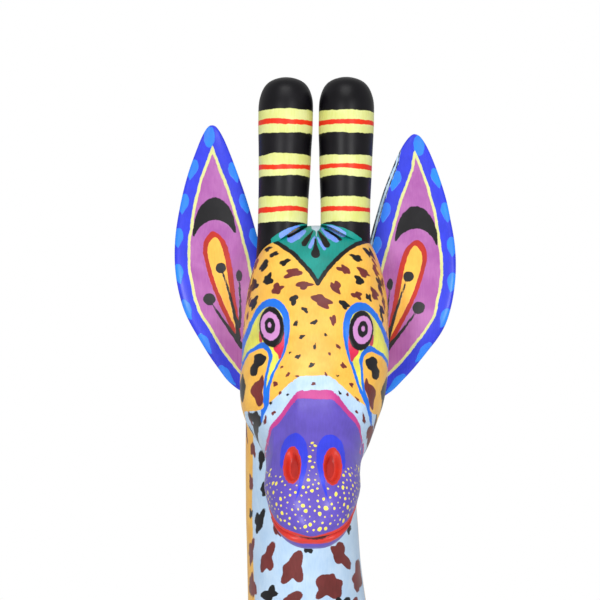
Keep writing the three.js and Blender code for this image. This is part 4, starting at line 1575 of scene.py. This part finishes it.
tenonSquare = 9.0  # how square a whittled tenon is
bevel = 0.7  # mm


def makeTenon(name, start, end, half, square, body, slot, material):
    # a peg from start to end with softened ends; half is its half width and half depth
    start, end = np.array(start, float), np.array(end, float)
    way = unit(end - start)
    length = np.linalg.norm(end - start)
    soft, softer = 1 - bevel / half[0], 1 - 0.15 * bevel / half[0]
    places = [0, 0.01, bevel, bevel + 0.4, length / 2]
    places += [length - bevel - 0.4, length - bevel, length - 0.01, length]
    shrink = [0, soft, softer, 1, 1, 1, softer, soft, 0]
    ring = evenAngles(64, square)
    outline = np.stack([squared(np.cos(ring), square), squared(np.sin(ring), square)], axis=1) * half
    if abs(way[0]) > 0.5:
        side = unit(np.cross([0.0, 1.0, 0.001], way))
    else:
        side = unit(np.cross(way, [0, 0, 1.0001]) + [1, 0, 0])
    side = unit(side - way * (side @ way))
    up = np.cross(side, way)
    spine = start + np.array(places)[:, None] * way
    girth = outline[:, 0, None] * side + outline[:, 1, None] * up
    form = {"points": spine[:, None] + np.array(shrink)[:, None, None] * girth[None]}
    piece = makePiece(name, form, {})
    piece.data.materials.append(material)
    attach(piece, body)
    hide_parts(body)
    print("made", name)


alongX, alongY = (0, math.radians(90), 0), (math.radians(90), 0, 0)
acrossWood = bareWood("whittled copal tenon, grain across", alongX)
lengthWood = bareWood("whittled copal tenon, grain lengthways", alongY)
uprightWood = bareWood("turned hardwood, upright grain", (0, 0, 0))
earTenon = {"from": 25.0, "to": 10.0, "at": (-8.0, 629.0), "half": (3.5, 1.8)}  # mm
hornTenon = {"from": 16, "to": -3, "half": (6.7, 6.7)}  # mm up the horn's axis
tailTenon = {"from": (0, 243, 349.5), "to": (0, 214, 349.5), "half": (5.7, 5.7)}
for which, side in (("left", 1), ("right", -1)):
    y, z = earTenon["at"][0], earTenon["at"][1] - ear["drop"][which]
    ends = [(side * earTenon[end], y, z) for end in ("from", "to")]
    body = f"ear_{which}"
    makeTenon(f"{body}_tenon", *ends, earTenon["half"], tenonSquare, body, "ear_paint", acrossWood)
    ends = [hornFoot(which) + hornTenon[end] * hornUp for end in ("from", "to")]
    body = f"horn_{which}"
    makeTenon(f"{body}_tenon", *ends, hornTenon["half"], 2.0, body, "horn_paint", uprightWood)
ends = (tailTenon["from"], tailTenon["to"])
makeTenon("tail_tenon", *ends, tailTenon["half"], 2.0, "tail", "tail_paint", lengthWood)

# the hidden pegs that hold the blocks together keep their plain round shape
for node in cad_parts:
    if "dowel" in node:
        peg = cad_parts[node]
        peg.data.materials.clear()
        peg.data.materials.append(acrossWood if "leg" in node else uprightWood)


def makeCamera():
    camera = bpy.data.objects.new("camera", bpy.data.cameras.new("camera"))
    bpy.context.scene.collection.objects.link(camera)
    camera.data.lens = studio["lens"]
    camera.data.sensor_width = studio["sensor"]
    camera.data.clip_start, camera.data.clip_end = 0.05, 20
    camera.location = toFrame(np.array(studio["aim"])) + gazeBack * studio["distance"]
    camera.rotation_euler = (math.radians(90) - elevation, 0, azimuth)
    bpy.context.scene.camera = camera


def addLamp(name, azimuth, elevation, distance, size, watts):
    lamp = bpy.data.objects.new(name, bpy.data.lights.new(name, "AREA"))
    bpy.context.scene.collection.objects.link(lamp)
    lamp.data.shape = "RECTANGLE"
    lamp.data.size, lamp.data.size_y = size
    lamp.data.energy = watts
    a, e = math.radians(azimuth), math.radians(elevation)
    back = np.array([math.sin(a) * math.cos(e), -math.cos(a) * math.cos(e), math.sin(e)])
    lamp.location = np.array([0, shiftY, studio["lampAim"]]) + back * distance
    lamp.rotation_euler = (math.radians(90) - e, 0, a)


makeCamera()
lamps = {  # degrees round, degrees up, metres away, size in metres, watts
    "left softbox": (-20, 7, 1.7, (0.3, 0.34), 9.5),
    "right softbox": (25, 10, 1.7, (0.3, 0.34), 8.5),
    "top softbox": (-4, 62, 1.6, (0.9, 0.6), 7.0),
}
for name, lamp in lamps.items():
    addLamp(name, *lamp)
print("lit the studio")

world = bpy.data.worlds.new("white studio")
bpy.context.scene.world = world
world.use_nodes = True
worldTree = world.node_tree
worldTree.nodes.clear()
cameraRay = addNode(worldTree, "ShaderNodeLightPath", {}, {}).outputs["Is Camera Ray"]
strength = mapped(worldTree, cameraRay, target=(studio["skyLight"], 1.0))
background = addNode(worldTree, "ShaderNodeBackground", {}, {"Color": (1, 1, 1, 1), "Strength": strength})
addNode(worldTree, "ShaderNodeOutputWorld", {}, {"Surface": background.outputs[0]})
bpy.context.scene.view_settings.view_transform = "Standard"

floorMesh = bpy.data.meshes.new("floor")
turn = np.linspace(0, 2 * np.pi, studio["floorSides"], endpoint=False)
disc = np.stack([np.cos(turn), np.sin(turn), 0 * turn], axis=1) * studio["floorRadius"]
disc -= [0, 0, studio["floorDrop"]]
floorMesh.from_pydata(disc.tolist(), [], [list(range(studio["floorSides"]))])
floor = bpy.data.objects.new("floor", floorMesh)
bpy.context.scene.collection.objects.link(floor)
floorPaper = bpy.data.materials.new("matt white paper sweep")
floorPaper.use_nodes = True
paper = floorPaper.node_tree.nodes["Principled BSDF"].inputs
paper["Base Color"].default_value = linear("#f1f1ef")
paper["Roughness"].default_value = 0.9
floor.data.materials.append(floorPaper)
